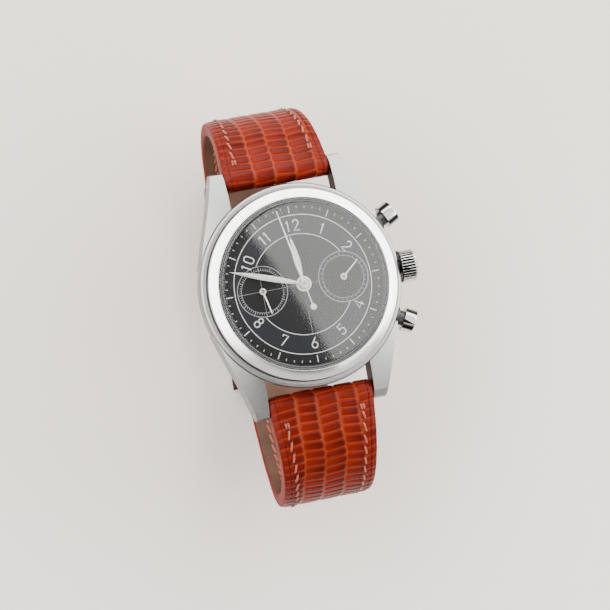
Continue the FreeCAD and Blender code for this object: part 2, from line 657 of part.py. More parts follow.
CLUTCH_BEAK = (COLUMN_WHEEL[0] - 0.92, COLUMN_WHEEL[1] + 1.26)


def operating_lever():
    """Long lever along the edge: the start pusher swings it and its hook turns the column wheel."""
    pad = polar(PUSHER_FOOT_R - 0.83, PUSHER_ANGLE)
    hook = (COLUMN_WHEEL[0] + 1.35, COLUMN_WHEEL[1] - COLUMN_R - 0.38)
    arm = chain([OPERATING_PIVOT, (14.2, 0.0), (13.7, 3.6), pad, (11.6, 8.0), hook], 0.8, 1.6, 1.98)
    return fuse(arm, cyl(0.9, 1.6, 1.98, OPERATING_PIVOT), cyl(0.35, 1.5, 3.6, OPERATING_PIVOT))


def clutch_lever():
    """Lever about the fourth wheel's axis that carries the coupling wheel to the runner."""
    route = [COUPLING, (-6.6, 6.6), (-4.9, 9.7), (0.0, 12.4), (5.2, 13.3), (7.0, 12.9)]
    arm = chain(route, 0.8, 2.12, 2.4)
    beak = bar((7.0, 12.9), (CLUTCH_BEAK[0] - 0.09, CLUTCH_BEAK[1] + 0.24), 0.3, 2.12, 2.4)
    ring = fuse(cyl(0.85, 2.12, 2.4, FOURTH), bar(FOURTH, COUPLING, 0.8, 2.12, 2.4))
    return fuse(arm, beak, ring).cut(cyl(0.5, 2.0, 2.5, FOURTH)).cut(cyl(0.16, 2.0, 2.5, COUPLING))


def coupling_wheel():
    tall = toothed(COUPLING_TEETH, COUPLING_R, CHRONO_MODULE, 2.55, 2.75, COUPLING, COUPLING_PHASE)
    low = toothed(COUPLING_TEETH, COUPLING_R, CHRONO_MODULE, 1.62, 1.85, COUPLING, COUPLING_PHASE)
    return fuse(tall, low, cyl(0.13, 1.5, 2.9, COUPLING), cyl(0.3, 1.85, 2.08, COUPLING), cyl(0.3, 2.44, 2.55, COUPLING))


def reset_hammer():
    """Hammer with two faces, one below each heart cam."""
    z0, z1 = 2.45, 2.72
    arm = chain([HAMMER_PIVOT, (9.9, -3.1), (6.6, -3.0), (0.9, -3.1)], 0.8, z0, z1)
    runner_face = prism([(-0.9, -2.25), (0.9, -2.25), (1.3, -3.3), (-0.6, -3.4)], z0, z1)
    counter_face = prism([(6.9, -1.95), (8.5, -1.95), (8.8, -3.2), (6.6, -3.1)], z0, z1)
    tail = chain([HAMMER_PIVOT, polar(PUSHER_FOOT_R - 1.3, -PUSHER_ANGLE)], 0.8, z0, z1)
    post = fuse(cyl(0.8, z0, z1, HAMMER_PIVOT), cyl(0.35, 2.3, 3.6, HAMMER_PIVOT))
    return fuse(arm, runner_face, counter_face, tail, post)


def brake_lever():
    pad = polar(RUNNER_R + 0.06 + 0.3 + 0.05, 104)
    arm = chain([(-0.6, 9.6), BRAKE_PIVOT, pad], 0.6, 1.62, 1.88)
    return fuse(arm, cyl(0.55, 1.62, 1.88, BRAKE_PIVOT), cyl(0.28, 1.5, 3.6, BRAKE_PIVOT))


def pusher(degrees):
    """Pump pusher: cap, neck in the tube, and the pin that presses the lever."""
    cap = turned([(0, 20.35), (1.75, 20.35), (2.08, 20.55), (2.08, 22.0), (1.8, 22.45), (0, 22.6)])
    body = fuse(cap, cyl(1.37, 16.9, 20.35), cyl(0.55, PUSHER_TIP_R, 16.9))
    body.rotate(V(0, 0, 0), Y, 90)
    body.rotate(V(0, 0, 0), Z, degrees)
    body.translate(V(0, 0, STEM_Z))
    at = polar(PUSHER_FOOT_R, degrees)
    return fuse(body, rod(0.4, (*at, STEM_Z), (*at, 1.65 if degrees > 0 else 2.48)))


def start_pusher():
    return pusher(PUSHER_ANGLE)


def reset_pusher():
    return pusher(-PUSHER_ANGLE)


# ---- plate and bridges ------------------------------------------------------------------------------------------
def jewel_places():
    """(place, bore radius, z of the ring's near face, thickness) for each jewel."""
    rings = [(THIRD, 0.15), (ESCAPE, 0.13)]
    found = [(at, r, 3.62, 0.2) for at, r in rings]
    found += [(at, r, 5.8, 0.22) for at, r in rings + [(PALLET, 0.13), (BALANCE, 0.12)]]
    found += [(FOURTH, 0.27, 3.62, 0.2), (PALLET, 0.13, 4.57, 0.15), (BALANCE, 0.12, 2.45, 0.2)]
    found += [(CENTRE, 0.16, 1.2, 0.2), (COUNTER, 0.17, 1.2, 0.2)]
    return found


JEWEL_R = 0.5


def jewels():
    rings = [tube(JEWEL_R, bore, z, z + t, at) for at, bore, z, t in jewel_places()]
    return Part.makeCompound(rings)


def drilled(shape, z0, z1):
    """Makes room for the jewels and arbors between two levels."""
    for at, _, z, t in jewel_places():
        if z0 - 0.05 <= z and z + t <= z1 + 0.05:
            shape = shape.cut(cyl(JEWEL_R + 0.004, z - 0.002, z + t + 0.002, at))
            shape = shape.cut(cyl(0.3, z0 - 0.1, z1 + 0.1, at))
    return shape


SCREWS = [
    ((-11.6, 8.4), 3.27), ((-2.9, 12.6), 3.27), ((-13.4, 0.8), 3.27), ((1.9, -4.9), 3.27),
    ((5.0, 14.1), 3.27), ((11.3, 4.2), 3.27), ((9.6, -10.0), 3.27),
    ((-0.2, -12.2), 2.15), ((3.9, -6.2), 1.05),
]


def screw_holes(shape, radius=0.47):
    for at, _ in SCREWS:
        shape = shape.cut(cyl(radius, 0.5, 6.2, at))
    return shape


def bridge_screws():
    found = []
    for at, top in SCREWS:
        head = cyl(0.75, top - 0.25, top, at).cut(block(at[0] - 0.9, at[0] + 0.9, at[1] - 0.09, at[1] + 0.09, top - 0.35, top - 0.13))
        found.append(fuse(head, cyl(0.44, top, 5.9, at)))
    return Part.makeCompound(found)


def main_plate():
    plate = cyl(PLATE_R, *PLATE)
    pockets = [(BARREL, 6.35), (CENTRE, 4.1), (THIRD, 3.45), (FOURTH, 3.2), (ESCAPE, 2.1), (PALLET, 2.3), (BALANCE, 5.0)]
    for at, r in pockets:
        plate = plate.cut(cyl(r, PLATE[0] - 0.1, TRAIN_FLOOR, at))
    plate = plate.cut(cyl(4.2, MOTION_FLOOR, PLATE[1] + 0.1)).cut(cyl(2.1, MOTION_FLOOR, PLATE[1] + 0.1, MINUTE_WHEEL))
    plate = plate.cut(block(10.4, 16.5, -1.5, 1.5, PLATE[0] - 0.1, 5.7))
    plate = plate.cut(rod(0.64, (8.4, 0, STEM_Z), (17, 0, STEM_Z)))
    plate = plate.cut(chain(SETTING_ROUTE + [(16.2, 0.4)], 2.4, MOTION_FLOOR, 7.0))
    plate = plate.cut(chain([SETTING_PIN, (16.2, 0.4)], 1.15, 5.0, 7.0)).cut(cyl(1.6, MOTION_FLOOR, 7.0, SETTING_ROUTE[0]))
    seat = fuse(bar(PALLET, PALLET_FOOT, 1.4, PLATE[0], TRAIN_FLOOR), cyl(0.84, PLATE[0], TRAIN_FLOOR, PALLET_FOOT))
    plate = plate.cut(seat)
    plate = plate.cut(cyl(1.0, 5.5, 6.5)).cut(cyl(0.45, 5.5, 6.2, BARREL))
    plate = plate.cut(cyl(0.3, 4.0, 7.0, FOURTH)).cut(cyl(0.3, 3.9, 7.0, COUNTER))
    for a in (75, 255):
        plate = plate.cut(cyl(0.4, 5.6, 7.0, polar(13.4, a)))
    for degrees in (PUSHER_ANGLE, -PUSHER_ANGLE):
        plate = plate.cut(radial_cut(1.0, 12.8, 16.5, degrees))
        end, start = polar(16.5, degrees), polar(13.6, degrees)
        plate = plate.cut(bar(start, end, 1.3, 3.9, STEM_Z))
    post = cyl(0.18, MOTION_FLOOR, 7.1, MINUTE_WHEEL)
    return screw_holes(drilled(fuse(plate, post), 5.7, 6.2))


def bridge_blank(points):
    return prism(points, *BRIDGE).common(cyl(15.4, *BRIDGE))


def stem_and_pusher_room(shape):
    shape = shape.cut(block(13.2, 17, -1.5, 1.5, 2.5, 4.2)).cut(block(10.6, 13.4, -1.2, 1.2, 3.44, 4.2))
    shape = shape.cut(rod(0.64, (8.4, 0, STEM_Z), (17, 0, STEM_Z)))
    for degrees in (PUSHER_ANGLE, -PUSHER_ANGLE):
        end, start = polar(16.5, degrees), polar(13.6, degrees)
        shape = shape.cut(bar(start, end, 1.3, 3.0, STEM_Z))
    return shape


def barrel_bridge():
    blank = bridge_blank([(-1.6, 16), (-1.6, 4.4), (1.6, 1.5), (6.6, 1.5), (6.9, -1.5), (16, -1.5), (16, 16)])
    blank = stem_and_pusher_room(blank).cut(cyl(0.62, 3.0, 4.2, BARREL)).cut(cyl(0.52, 3.0, 3.6, CROWN_WHEEL))
    blank = blank.cut(cyl(0.32, 3, 4.2, COUNTER)).cut(cyl(0.3, 3, 4.2, COLUMN_WHEEL)).cut(cyl(0.32, 3, 4.2, CLICK))
    return screw_holes(blank)


def train_bridge():
    blank = bridge_blank(
        [(-16, 16), (-1.8, 16), (-1.8, 4.3), (1.4, 1.3), (6.4, 1.3), (6.7, -1.7), (16, -1.7), (16, -16), (-1.6, -16), (-16, -6)]
    )
    blank = stem_and_pusher_room(blank).cut(cyl(4.95, 3.0, 4.2, BALANCE)).cut(block(-3.4, 4.0, -16, -8.6, 3, 4.2))
    blank = blank.cut(cyl(0.6, 3, 4.2)).cut(cyl(0.3, 3, 4.2, FOURTH)).cut(cyl(0.3, 3, 4.2, BRAKE_PIVOT))
    blank = blank.cut(cyl(0.37, 3, 4.2, OPERATING_PIVOT)).cut(cyl(0.37, 3, 4.2, HAMMER_PIVOT))
    return max(screw_holes(drilled(blank, *BRIDGE)).Solids, key=lambda solid: solid.Volume)


def balance_cock():
    """Cock with a foot on the plate, over the balance."""
    foot = block(-2.0, 3.4, -13.6, -9.6, 2.15, 4.0).common(cyl(15.3, 2, 4.1))
    arm = chain([BALANCE, (-4.0, -9.3), (-1.0, -11.4)], 1.9, 2.15, 2.75)
    cock = fuse(foot, arm).cut(cyl(4.95, 2.9, 4.1, BALANCE))
    stud = polar(2.75, 40, BALANCE)
    cock = cock.cut(cyl(0.17, 2.5, 3.0, stud))
    return screw_holes(drilled(cock, 2.1, 2.75))


PALLET_FOOT = (-11.9, -5.6)


def pallet_cock():
    arm = chain([PALLET, PALLET_FOOT], 1.3, 4.5, 4.85)
    foot = cyl(0.8, 4.5, TRAIN_FLOOR, PALLET_FOOT)
    return drilled(fuse(arm, foot), 4.5, 4.85)


def chronograph_bridge():
    """V-shaped bridge that carries the runner and the minute counter."""
    z0, z1 = CHRONO_BRIDGE
    foot = (3.9, -6.2)
    arms = fuse(bar(CENTRE, foot, 1.6, z0, z1), bar(COUNTER, foot, 1.6, z0, z1), cyl(1.25, z0, 3.27, foot))
    return screw_holes(drilled(arms, z0, z1))


# ---- strap, keepers, buckle and spring bars -----------------------------------------------------------------------
def strap_line(side):
    """Middle line of a strap half in the Y-Z plane, as (y, z, heading in degrees, distance along) stations.

    side 1 is the 12 o'clock half, -1 the 6 o'clock half. A run is (length, turn in degrees): straight if turn is 0.
    """
    if side > 0:
        heading, runs = -25.0, [(3.46, 0), (17.8, -65), (23.7, -90), (23.2, 0)]
    else:
        heading, runs = 185.0, [(5.0, 0), (20.8, 85), (15.3, 73), (25.0, 0), (4.0, 17), (21.1, 0), (10.9, 35)]
    y, z, s = side * BAR_Y, BAR_Z, 0.0
    stations = [(y, z, heading, s)]
    for length, turn in runs:
        pieces = max(1, int(abs(turn) / 9))
        for _ in range(pieces):
            middle = math.radians(heading + turn / pieces / 2)
            chord = length / pieces
            if turn:
                half = math.radians(abs(turn) / pieces / 2)
                chord *= math.sin(half) / half
            y, z = y + chord * math.cos(middle), z + chord * math.sin(middle)
            heading, s = heading + turn / pieces, s + length / pieces
            stations.append((y, z, heading, s))
    return stations


def strap_width(s):
    return STRAP_W - (STRAP_W - BUCKLE_W) * min(1.0, s / TAPER_LENGTH)


def strap_thickness(s):
    return THIN_T + (LUG_T - THIN_T) * max(0.0, 1 - s / 38.0) ** 1.3


def strap_section(station, width, thickness):
    y, z, heading, _ = station
    a = math.radians(heading + 90)
    oy, oz = math.cos(a) * thickness / 2, math.sin(a) * thickness / 2
    h = width / 2
    corners = [V(-h, y + oy, z + oz), V(h, y + oy, z + oz), V(h, y - oy, z - oz), V(-h, y - oy, z - oz)]
    return Part.makePolygon(corners + corners[:1])


def strap_half(side):
    stations = strap_line(side)
    sections = [strap_section(s, strap_width(s[3]), strap_thickness(s[3])) for s in stations]
    body = Part.makeLoft(sections, True, True)
    wrap = rod(LUG_T / 2, (-STRAP_W / 2, side * BAR_Y, BAR_Z), (STRAP_W / 2, side * BAR_Y, BAR_Z))
    return body.fuse(wrap).cut(rod(0.93, (-15, side * BAR_Y, BAR_Z), (15, side * BAR_Y, BAR_Z))), stations


def strap_12():
    body, _ = strap_half(1)
    y, z = BUCKLE_BAR
    body = body.fuse(rod(1.45, (-BUCKLE_W / 2, y, z), (BUCKLE_W / 2, y, z)))
    body = body.cut(rod(0.8, (-12, y, z), (12, y, z)))
    body = body.cut(block(-1.35, 1.35, y - 3, y + 2.4, z - 3, z + 3))
    return body


TANG_HOLE = (-12.9, -7.5)


def strap_6():
    body, stations = strap_half(-1)
    tip_y, tip_z, heading, _ = stations[-1]
    for s in (49.8, 56.1, 68.7, 75.0, 81.3):
        before = max((p for p in stations if p[3] <= s), key=lambda p: p[3])
        after = min((p for p in stations if p[3] > s), key=lambda p: p[3])
        share = (s - before[3]) / (after[3] - before[3])
        y, z = (before[i] + (after[i] - before[i]) * share for i in (0, 1))
        a = math.radians((before[2] + after[2]) / 2 + 90)
        ny, nz = math.cos(a) * 3, math.sin(a) * 3
        body = body.cut(rod(0.95, (0, y - ny, z - nz), (0, y + ny, z + nz)))
    slot = block(-1.15, 1.15, *TANG_HOLE, -33.5, -27.5)
    body = body.cut(slot)
    rounded = rod(8.0, (0, 0, -8), (0, 0, 8))
    keep = fuse(block(-20, 20, -30, 0, -7, 7), rounded)
    tool = block(-20, 20, -6, 12, -6, 6).cut(keep)
    tool.rotate(V(0, 0, 0), X, heading)
    a = math.radians(heading)
    tool.translate(V(0, tip_y - 8.0 * math.cos(a), tip_z - 8.0 * math.sin(a)))
    return body.cut(tool)


def keeper(y0, y1):
    """A leather band round both strap halves."""
    w, top = BUCKLE_W / 2 + 0.25, FLAT_Z_12 + THIN_T / 2 + 0.2
    bottom = FLAT_Z_6 - THIN_T / 2 - 0.15
    outer = block(-w - 1.2, w + 1.2, y0, y1, KEEPER_OUT_Z, top + 1.1)
    return outer.cut(block(-w, w, y0 - 1, y1 + 1, bottom, top))


def fixed_keeper():
    return keeper(-1.9, 2.9)


def free_keeper():
    return keeper(5.5, 9.5)


FRAME_BAR = (-16.0, -30.6)


def buckle_frame():
    """Bent frame: two arms from the spring bar to a round cross bar, which has a seat for the tang."""
    side = BUCKLE_W / 2 + 0.35
    y0, z0 = BUCKLE_BAR
    y1, z1 = FRAME_BAR
    arms = []
    for s in (1, -1):
        x0, x1 = sorted((s * side, s * (side + 1.7)))
        outline = [
            (y0 + 1.3, z0 + 1.1), (y0 + 1.3, z0 - 1.1), (y0 - 2.5, z0 - 2.0), (y1 + 1.5, z1 - 1.1),
            (y1 - 0.6, z1 - 1.0), (y1 - 1.1, z1), (y1 - 0.6, z1 + 0.9), (y0 - 3.0, z0 + 0.6),
        ]
        wire = Part.makePolygon([V(x0, y, z) for y, z in outline + outline[:1]])
        arm = Part.Face(wire).extrude(V(x1 - x0, 0, 0))
        arms.append(arm.cut(rod(0.5, (s * (side - 1), y0, z0), (s * (side + 1.0), y0, z0))))
    cross = rod(1.05, (-side - 0.5, y1, z1), (side + 0.5, y1, z1))
    seat = block(-1.3, 1.3, y1 - 2, y1 + 2, z1 - 2, z1 - 0.1)
    return fuse(*arms, cross.cut(seat))


def buckle_tang():
    """Tongue round the spring bar, through the strap's hole, into the seat of the cross bar."""
    y0, z0 = BUCKLE_BAR
    route = [(0.0, 0.0), (-3.0, -0.35), (-5.0, -1.1), (-7.2, -2.35), (-8.6, -2.6), (-12.0, -2.65)]
    strips = [rod(1.2, (-0.9, y0, z0), (0.9, y0, z0))]
    for (ya, za), (yb, zb) in zip(route, route[1:]):
        half = 0.43
        run = math.hypot(yb - ya, zb - za)
        ny, nz = -(zb - za) / run * half, (yb - ya) / run * half
        corners = [(ya + ny, za + nz), (yb + ny, zb + nz), (yb - ny, zb - nz), (ya - ny, za - nz)]
        wire = Part.makePolygon([V(-0.9, y0 + y, z0 + z) for y, z in corners + corners[:1]])
        strips.append(Part.Face(wire).extrude(V(1.8, 0, 0)))
        strips.append(rod(half, (-0.9, y0 + yb, z0 + zb), (0.9, y0 + yb, z0 + zb)))
    return fuse(*strips).cut(rod(0.72, (-2, y0, z0), (2, y0, z0)))


LUG_BAR_HALF = LUG_IN - 0.15


def spring_bars():
    """Two lug bars, each a tube with one fixed end pin, and the buckle's bar."""
    found = []
    for side in (1, -1):
        y = side * BAR_Y
        body = rod(0.88, (-LUG_BAR_HALF, y, BAR_Z), (LUG_BAR_HALF, y, BAR_Z))
        body = body.fuse(rod(0.45, (-LUG_BAR_HALF - 1.3, y, BAR_Z), (-LUG_BAR_HALF, y, BAR_Z)))
        found.append(body.cut(rod(0.5, (LUG_BAR_HALF - 3.2, y, BAR_Z), (LUG_BAR_HALF + 1, y, BAR_Z))))
    y, z = BUCKLE_BAR
    half = BUCKLE_W / 2 + 0.3
    found.append(fuse(rod(0.66, (-half, y, z), (half, y, z)), rod(0.45, (-half - 0.85, y, z), (half + 0.85, y, z))))
    return Part.makeCompound(found)


def spring_bar_pin(side):
    y = side * BAR_Y
    return rod(0.45, (LUG_BAR_HALF - 1.6, y, BAR_Z), (LUG_BAR_HALF + 1.3, y, BAR_Z))


NODES = {
    "mid_case": mid_case,
    "bezel": bezel,
    "crystal": crystal,
    "crystal_seat": crystal_seat,
    "case_back": case_back,
    "case_back_gasket": case_back_gasket,
    "movement_ring": movement_ring,
    "case_tubes": case_tubes,
    "dial": dial,
    "hour_hand": hour_hand,
    "minute_hand": minute_hand,
    "chronograph_hand": chronograph_hand,
    "small_seconds_hand": small_seconds_hand,
    "minute_counter_hand": minute_counter_hand,
    "barrel": barrel,
    "mainspring": mainspring,
    "ratchet_wheel": ratchet_wheel,
    "centre_wheel": centre_wheel,
    "third_wheel": third_wheel,
    "fourth_wheel": fourth_wheel,
    "escape_wheel": escape_wheel,
    "pallet_fork": pallet_fork,
    "balance_wheel": balance_wheel,
    "hairspring": hairspring,
    "minute_wheel": minute_wheel,
    "hour_wheel": hour_wheel,
    "winding_stem": winding_stem,
    "crown": crown,
    "winding_pinion": winding_pinion,
    "clutch_wheel": clutch_wheel,
    "crown_wheel": crown_wheel,
    "setting_lever": setting_lever,
    "click": click,
    "chronograph_runner": chronograph_runner,
    "minute_counter_wheel": minute_counter_wheel,
    "column_wheel": column_wheel,
    "operating_lever": operating_lever,
    "clutch_lever": clutch_lever,
    "coupling_wheel": coupling_wheel,
    "reset_hammer": reset_hammer,
    "brake_lever": brake_lever,
    "start_pusher": start_pusher,
    "reset_pusher": reset_pusher,
    "jewels": jewels,
    "bridge_screws": bridge_screws,
    "main_plate": main_plate,
    "barrel_bridge": barrel_bridge,
    "train_bridge": train_bridge,
    "balance_cock": balance_cock,
    "pallet_cock": pallet_cock,
    "chronograph_bridge": chronograph_bridge,
    "strap_12": strap_12,
    "strap_6": strap_6,
    "fixed_keeper": fixed_keeper,
    "free_keeper": free_keeper,
    "buckle_frame": buckle_frame,
    "buckle_tang": buckle_tang,
    "spring_bars": spring_bars,
    "spring_bar_pin_12": lambda: spring_bar_pin(1),
    "spring_bar_pin_6": lambda: spring_bar_pin(-1),
}


def save():
    os.makedirs("parts", exist_ok=True)
    for name, make in NODES.items():
        shape = make()
        shape.translate(V(0, 0, STAND))
        shape.exportStep(os.path.join("parts", name + ".step"))


save()
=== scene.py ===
"""Looks of the hand-wound chronograph wristwatch on its lizard strap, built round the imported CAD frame.

Lengths inside this script are millimetres in the row frame; make() turns them into metres.
"""

import json
import math
import random
from math import atan2, cos, exp, hypot, pi, radians, sin, sqrt

import bpy
import numpy as np
from mathutils import Matrix, Vector


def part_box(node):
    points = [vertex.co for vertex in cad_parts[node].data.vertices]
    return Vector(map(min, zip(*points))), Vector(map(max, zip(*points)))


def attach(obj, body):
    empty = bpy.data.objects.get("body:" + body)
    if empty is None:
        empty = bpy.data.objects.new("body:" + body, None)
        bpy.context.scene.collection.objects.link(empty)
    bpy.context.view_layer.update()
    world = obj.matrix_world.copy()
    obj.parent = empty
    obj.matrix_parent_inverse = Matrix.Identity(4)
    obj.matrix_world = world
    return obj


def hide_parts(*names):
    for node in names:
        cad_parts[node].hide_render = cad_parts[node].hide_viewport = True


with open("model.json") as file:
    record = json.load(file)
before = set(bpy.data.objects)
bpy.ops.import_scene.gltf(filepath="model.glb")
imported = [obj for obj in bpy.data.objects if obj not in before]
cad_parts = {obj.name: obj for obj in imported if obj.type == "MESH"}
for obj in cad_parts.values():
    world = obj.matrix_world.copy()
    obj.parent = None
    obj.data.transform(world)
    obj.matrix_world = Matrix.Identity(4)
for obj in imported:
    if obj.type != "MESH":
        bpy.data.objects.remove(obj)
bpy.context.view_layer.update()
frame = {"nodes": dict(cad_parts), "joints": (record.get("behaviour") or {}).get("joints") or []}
NODES = frame["nodes"]
JOINTS = {j["name"]: j for j in frame["joints"]}
rng = random.Random(7)

# ---- places taken from the frame ----


def box_mm(node):
    lo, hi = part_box(node)
    return [c * 1000 for c in lo], [c * 1000 for c in hi]


def joint_mm(name):
    return [c * 1000 for c in JOINTS[name]["pos_m"]]


BACK_Z = box_mm("case_back")[0][2]
DIAL_Z = box_mm("dial")[1][2]
SMALL_X = joint_mm("seconds_turn")[0]
COUNTER_X = joint_mm("chrono_minutes_turn")[0]
PIN_LO, PIN_HI = box_mm("spring_bar_pin_12")
# Radii where the dial's satin ring and its outer track begin, and of a small dial.
RING_R, TRACK_R, SMALL_R = 9.33, 12.9, 4.67
BAR_Y, BAR_Z = (PIN_LO[1] + PIN_HI[1]) / 2, (PIN_LO[2] + PIN_HI[2]) / 2


# ---- materials ----
def srgb(r, g, b):
    def one(c):
        c /= 255
        return c / 12.92 if c <= 0.04045 else ((c + 0.055) / 1.055) ** 2.4

    return (one(r), one(g), one(b), 1.0)


def dimmed(colour, share):
    return tuple(c * share for c in colour[:3]) + (1.0,)


class Nodes:
    """A short way to add and join shader nodes in one tree."""

    def __init__(self, tree):
        self.tree = tree

    def put(self, socket, value):
        if isinstance(value, bpy.types.NodeSocket):
            self.tree.links.new(value, socket)
        else:
            socket.default_value = value

    def node(self, kind, inputs=None, **props):
        n = self.tree.nodes.new(kind)
        for key, value in props.items():
            setattr(n, key, value)
        for key, value in (inputs or {}).items():
            self.put(n.inputs[key], value)
        return n

    def calc(self, op, a, b=0.0):
        return self.node("ShaderNodeMath", {0: a, 1: b}, operation=op).outputs[0]

    def times(self, a, b):
        return self.calc("MULTIPLY", a, b)

    def plus(self, a, b):
        return self.calc("ADD", a, b)

    def span(self, value, low, high, out_low=0.0, out_high=1.0, smooth=False):
        """value mapped from low...high to out_low...out_high, and held at the ends."""
        ends = {"Value": value, "From Min": low, "From Max": high, "To Min": out_low, "To Max": out_high}
        kind = "SMOOTHSTEP" if smooth else "LINEAR"
        return self.node("ShaderNodeMapRange", ends, interpolation_type=kind).outputs[0]

    def mix(self, share, a, b):
        return self.node("ShaderNodeMix", {"Factor": share, 6: a, 7: b}, data_type="RGBA").outputs[2]


class Look(Nodes):
    """A procedural material."""

    def __init__(self, name, **values):
        self.m = bpy.data.materials.new(name)
        self.m.use_nodes = True
        super().__init__(self.m.node_tree)
        self.bsdf = self.tree.nodes["Principled BSDF"]
        for key, value in values.items():
            self.set(key, value)

    def set(self, key, value):
        self.put(self.bsdf.inputs[key], value)

    def paint(self, share, a, b):
        self.set("Base Color", self.mix(share, a, b))

    def roughness(self, pattern, low, high):
        self.set("Roughness", self.span(pattern, 0.3, 0.7, low, high))

    def surface(self, share, a, b):
        """Ends the material in a mix of two shaders."""
        both = self.node("ShaderNodeMixShader", {0: share, 1: a.outputs[0], 2: b.outputs[0]})
        self.put(self.tree.nodes["Material Output"].inputs["Surface"], both.outputs[0])

    def place(self):
        return self.node("ShaderNodeTexCoord").outputs["Object"]

    def moved(self, scale, turn=(0, 0, 0)):
        """The place turned first and stretched after."""
        turned = self.node("ShaderNodeMapping", {"Vector": self.place(), "Rotation": turn}).outputs[0]
        return self.node("ShaderNodeMapping", {"Vector": turned, "Scale": scale}).outputs[0]

    def noise(self, scale, detail=3.0, at=None):
        at = at or self.place()
        return self.node("ShaderNodeTexNoise", {"Vector": at, "Scale": scale, "Detail": detail}).outputs[0]

    def radius(self, cx=0.0, cy=0.0):
        """Distance in millimetres from an upright axis."""
        x, y, _ = self.xyz()
        return self.length(self.calc("SUBTRACT", x, cx), self.calc("SUBTRACT", y, cy))

    def length(self, a, b):
        return self.calc("SQRT", self.plus(self.times(a, a), self.times(b, b)))

    def xyz(self):
        n = self.node("ShaderNodeSeparateXYZ", {0: self.place()})
        return [self.times(n.outputs[i], 1000.0) for i in range(3)]

    def facing(self):
        """How far the surface faces up: 1 on top, 0 on an upright side."""
        normal = self.node("ShaderNodeNewGeometry").outputs["Normal"]
        return self.node("ShaderNodeSeparateXYZ", {0: normal}).outputs[2]

    def attribute(self, name):
        return self.node("ShaderNodeAttribute", attribute_name=name).outputs["Fac"]

    def bump(self, height, strength=0.3, distance=0.0001):
        n = self.node("ShaderNodeBump", {"Height": height, "Strength": strength, "Distance": distance})
        self.set("Normal", n.outputs[0])


def brushed(name, colour, rough=0.3, turn=(0, 0, 0), along=(0.03, 1, 1), depth=0.25, scale=9000, bend=None):
    """Metal with fine straight brushing, along the axis that along makes long.

    bend gives how much flat tops are shaded as if they leaned out, per millimetre across and along; with
    bend, upright sides also get painted shade.
    """
    look = Look(name, Metallic=1.0)
    fine = look.noise(scale, 3.0, look.moved(along, turn))
    broad = look.noise(300, 2.0)
    top = look.mix(look.span(fine, 0.3, 0.7), dimmed(colour, 0.86), colour)
    look.set("Base Color", top)
    streaks = look.span(fine, 0.3, 0.7, rough, rough + 0.12)
    look.set("Roughness", look.plus(streaks, look.span(broad, 0.3, 0.7, -0.02, 0.02)))
    look.bump(fine, depth, 0.00002)
    if bend:
        facing = look.facing()
        # painted shade: upright sides dimmed to under half the brushed colour
        look.paint(look.span(facing, 0.1, 0.45), dimmed(colour, 0.45), top)
        x, y, _ = look.xyz()
        lean = {0: look.times(x, bend[0]), 1: look.times(y, bend[1]), 2: 1.0}
        bent = look.node("ShaderNodeCombineXYZ", lean).outputs[0]
        bent = look.node("ShaderNodeVectorMath", {0: bent}, operation="NORMALIZE").outputs[0]
        plain = look.node("ShaderNodeNewGeometry").outputs["Normal"]
        bumped = look.bsdf.inputs["Normal"].links[0].from_node
        look.put(bumped.inputs["Normal"], look.mix(look.span(facing, 0.5, 0.8), plain, bent))
    return look.m


def polished(name, colour, rough=0.06, metallic=1.0):
    look = Look(name, Metallic=metallic)
    smear = look.noise(450, 4.0)
    look.paint(look.span(smear, 0.35, 0.65), dimmed(colour, 0.93), colour)
    look.roughness(smear, rough, rough + 0.05)
    return look.m


def pusher_metal(name):
    """Bright polished cap with painted dark reflection bands along its sides, on a dark satin neck."""
    look = Look(name, Metallic=1.0)
    neck = look.span(look.radius(), 20.36, 20.38, 1.0, 0.0)
    smear = look.noise(450, 4.0)
    cap = look.mix(look.span(smear, 0.35, 0.65), (0.5, 0.5, 0.5, 1), (0.6, 0.6, 0.6, 1))
    facing = look.facing()
    # painted reflection: a near-black band on the sides that face part way up
    band = look.times(look.span(facing, 0.5, 0.58), look.span(facing, 0.84, 0.9, 1.0, 0.0))
    cap = look.mix(band, cap, (0.03, 0.03, 0.031, 1))
    look.paint(neck, cap, (0.07, 0.07, 0.073, 1))
    look.set("Roughness", look.plus(look.span(neck, 0, 1, 0.05, 0.42), look.span(smear, 0.3, 0.7, 0.0, 0.04)))
    return look.m


def fluted_metal(name, height, radius, depth, end):
    """Polished metal with painted shade down in the flutes. height is the axis; end is where the flutes stop.
    """
    look = Look(name, Metallic=1.0)
    x, y, zz = look.xyz()
    zz = look.calc("SUBTRACT", zz, height)
    out = look.length(y, zz)
    ridge = look.span(out, radius - depth, radius, smooth=True)
    clear_of_flute_shade = look.calc("MAXIMUM", ridge, look.span(x, end, end + 0.1))
    grain = look.noise(900, 3.0)
    bright = look.mix(grain, (0.62, 0.62, 0.615, 1), (0.74, 0.74, 0.735, 1))
    # painted shade: near-black in the flute valleys
    look.paint(clear_of_flute_shade, (0.02, 0.02, 0.021, 1), bright)
    look.roughness(grain, 0.1, 0.18)
    return look.m


def snailed(name, colour, period=0.16, rough=0.26):
    """Metal with fine turned rings round the upright axis of the dial."""
    look = Look(name, Metallic=1.0)
    rings = look.calc("SINE", look.times(look.radius(), 2 * pi / period))
    grain = look.noise(2500, 3.0)
    look.paint(look.span(grain, 0.3, 0.7), dimmed(colour, 0.82), colour)
    look.roughness(grain, rough, rough + 0.1)
    look.bump(rings, 0.12, 0.00002)
    return look.m


def striped(name, colour):
    """Bridge metal with broad parallel stripes."""
    look = Look(name, Metallic=1.0)
    x, y, _ = look.xyz()
    across = look.plus(look.times(x, 0.8), look.times(y, 0.6))
    wave = look.calc("FRACT", look.times(across, 0.62))
    grain = look.noise(4000, 3.0, look.moved((0.1, 1, 1), (0, 0, 0.64)))
    look.paint(wave, colour, dimmed(colour, 0.72))
    look.roughness(grain, 0.22, 0.4)
    look.bump(look.plus(wave, grain), 0.15, 0.00003)
    return look.m


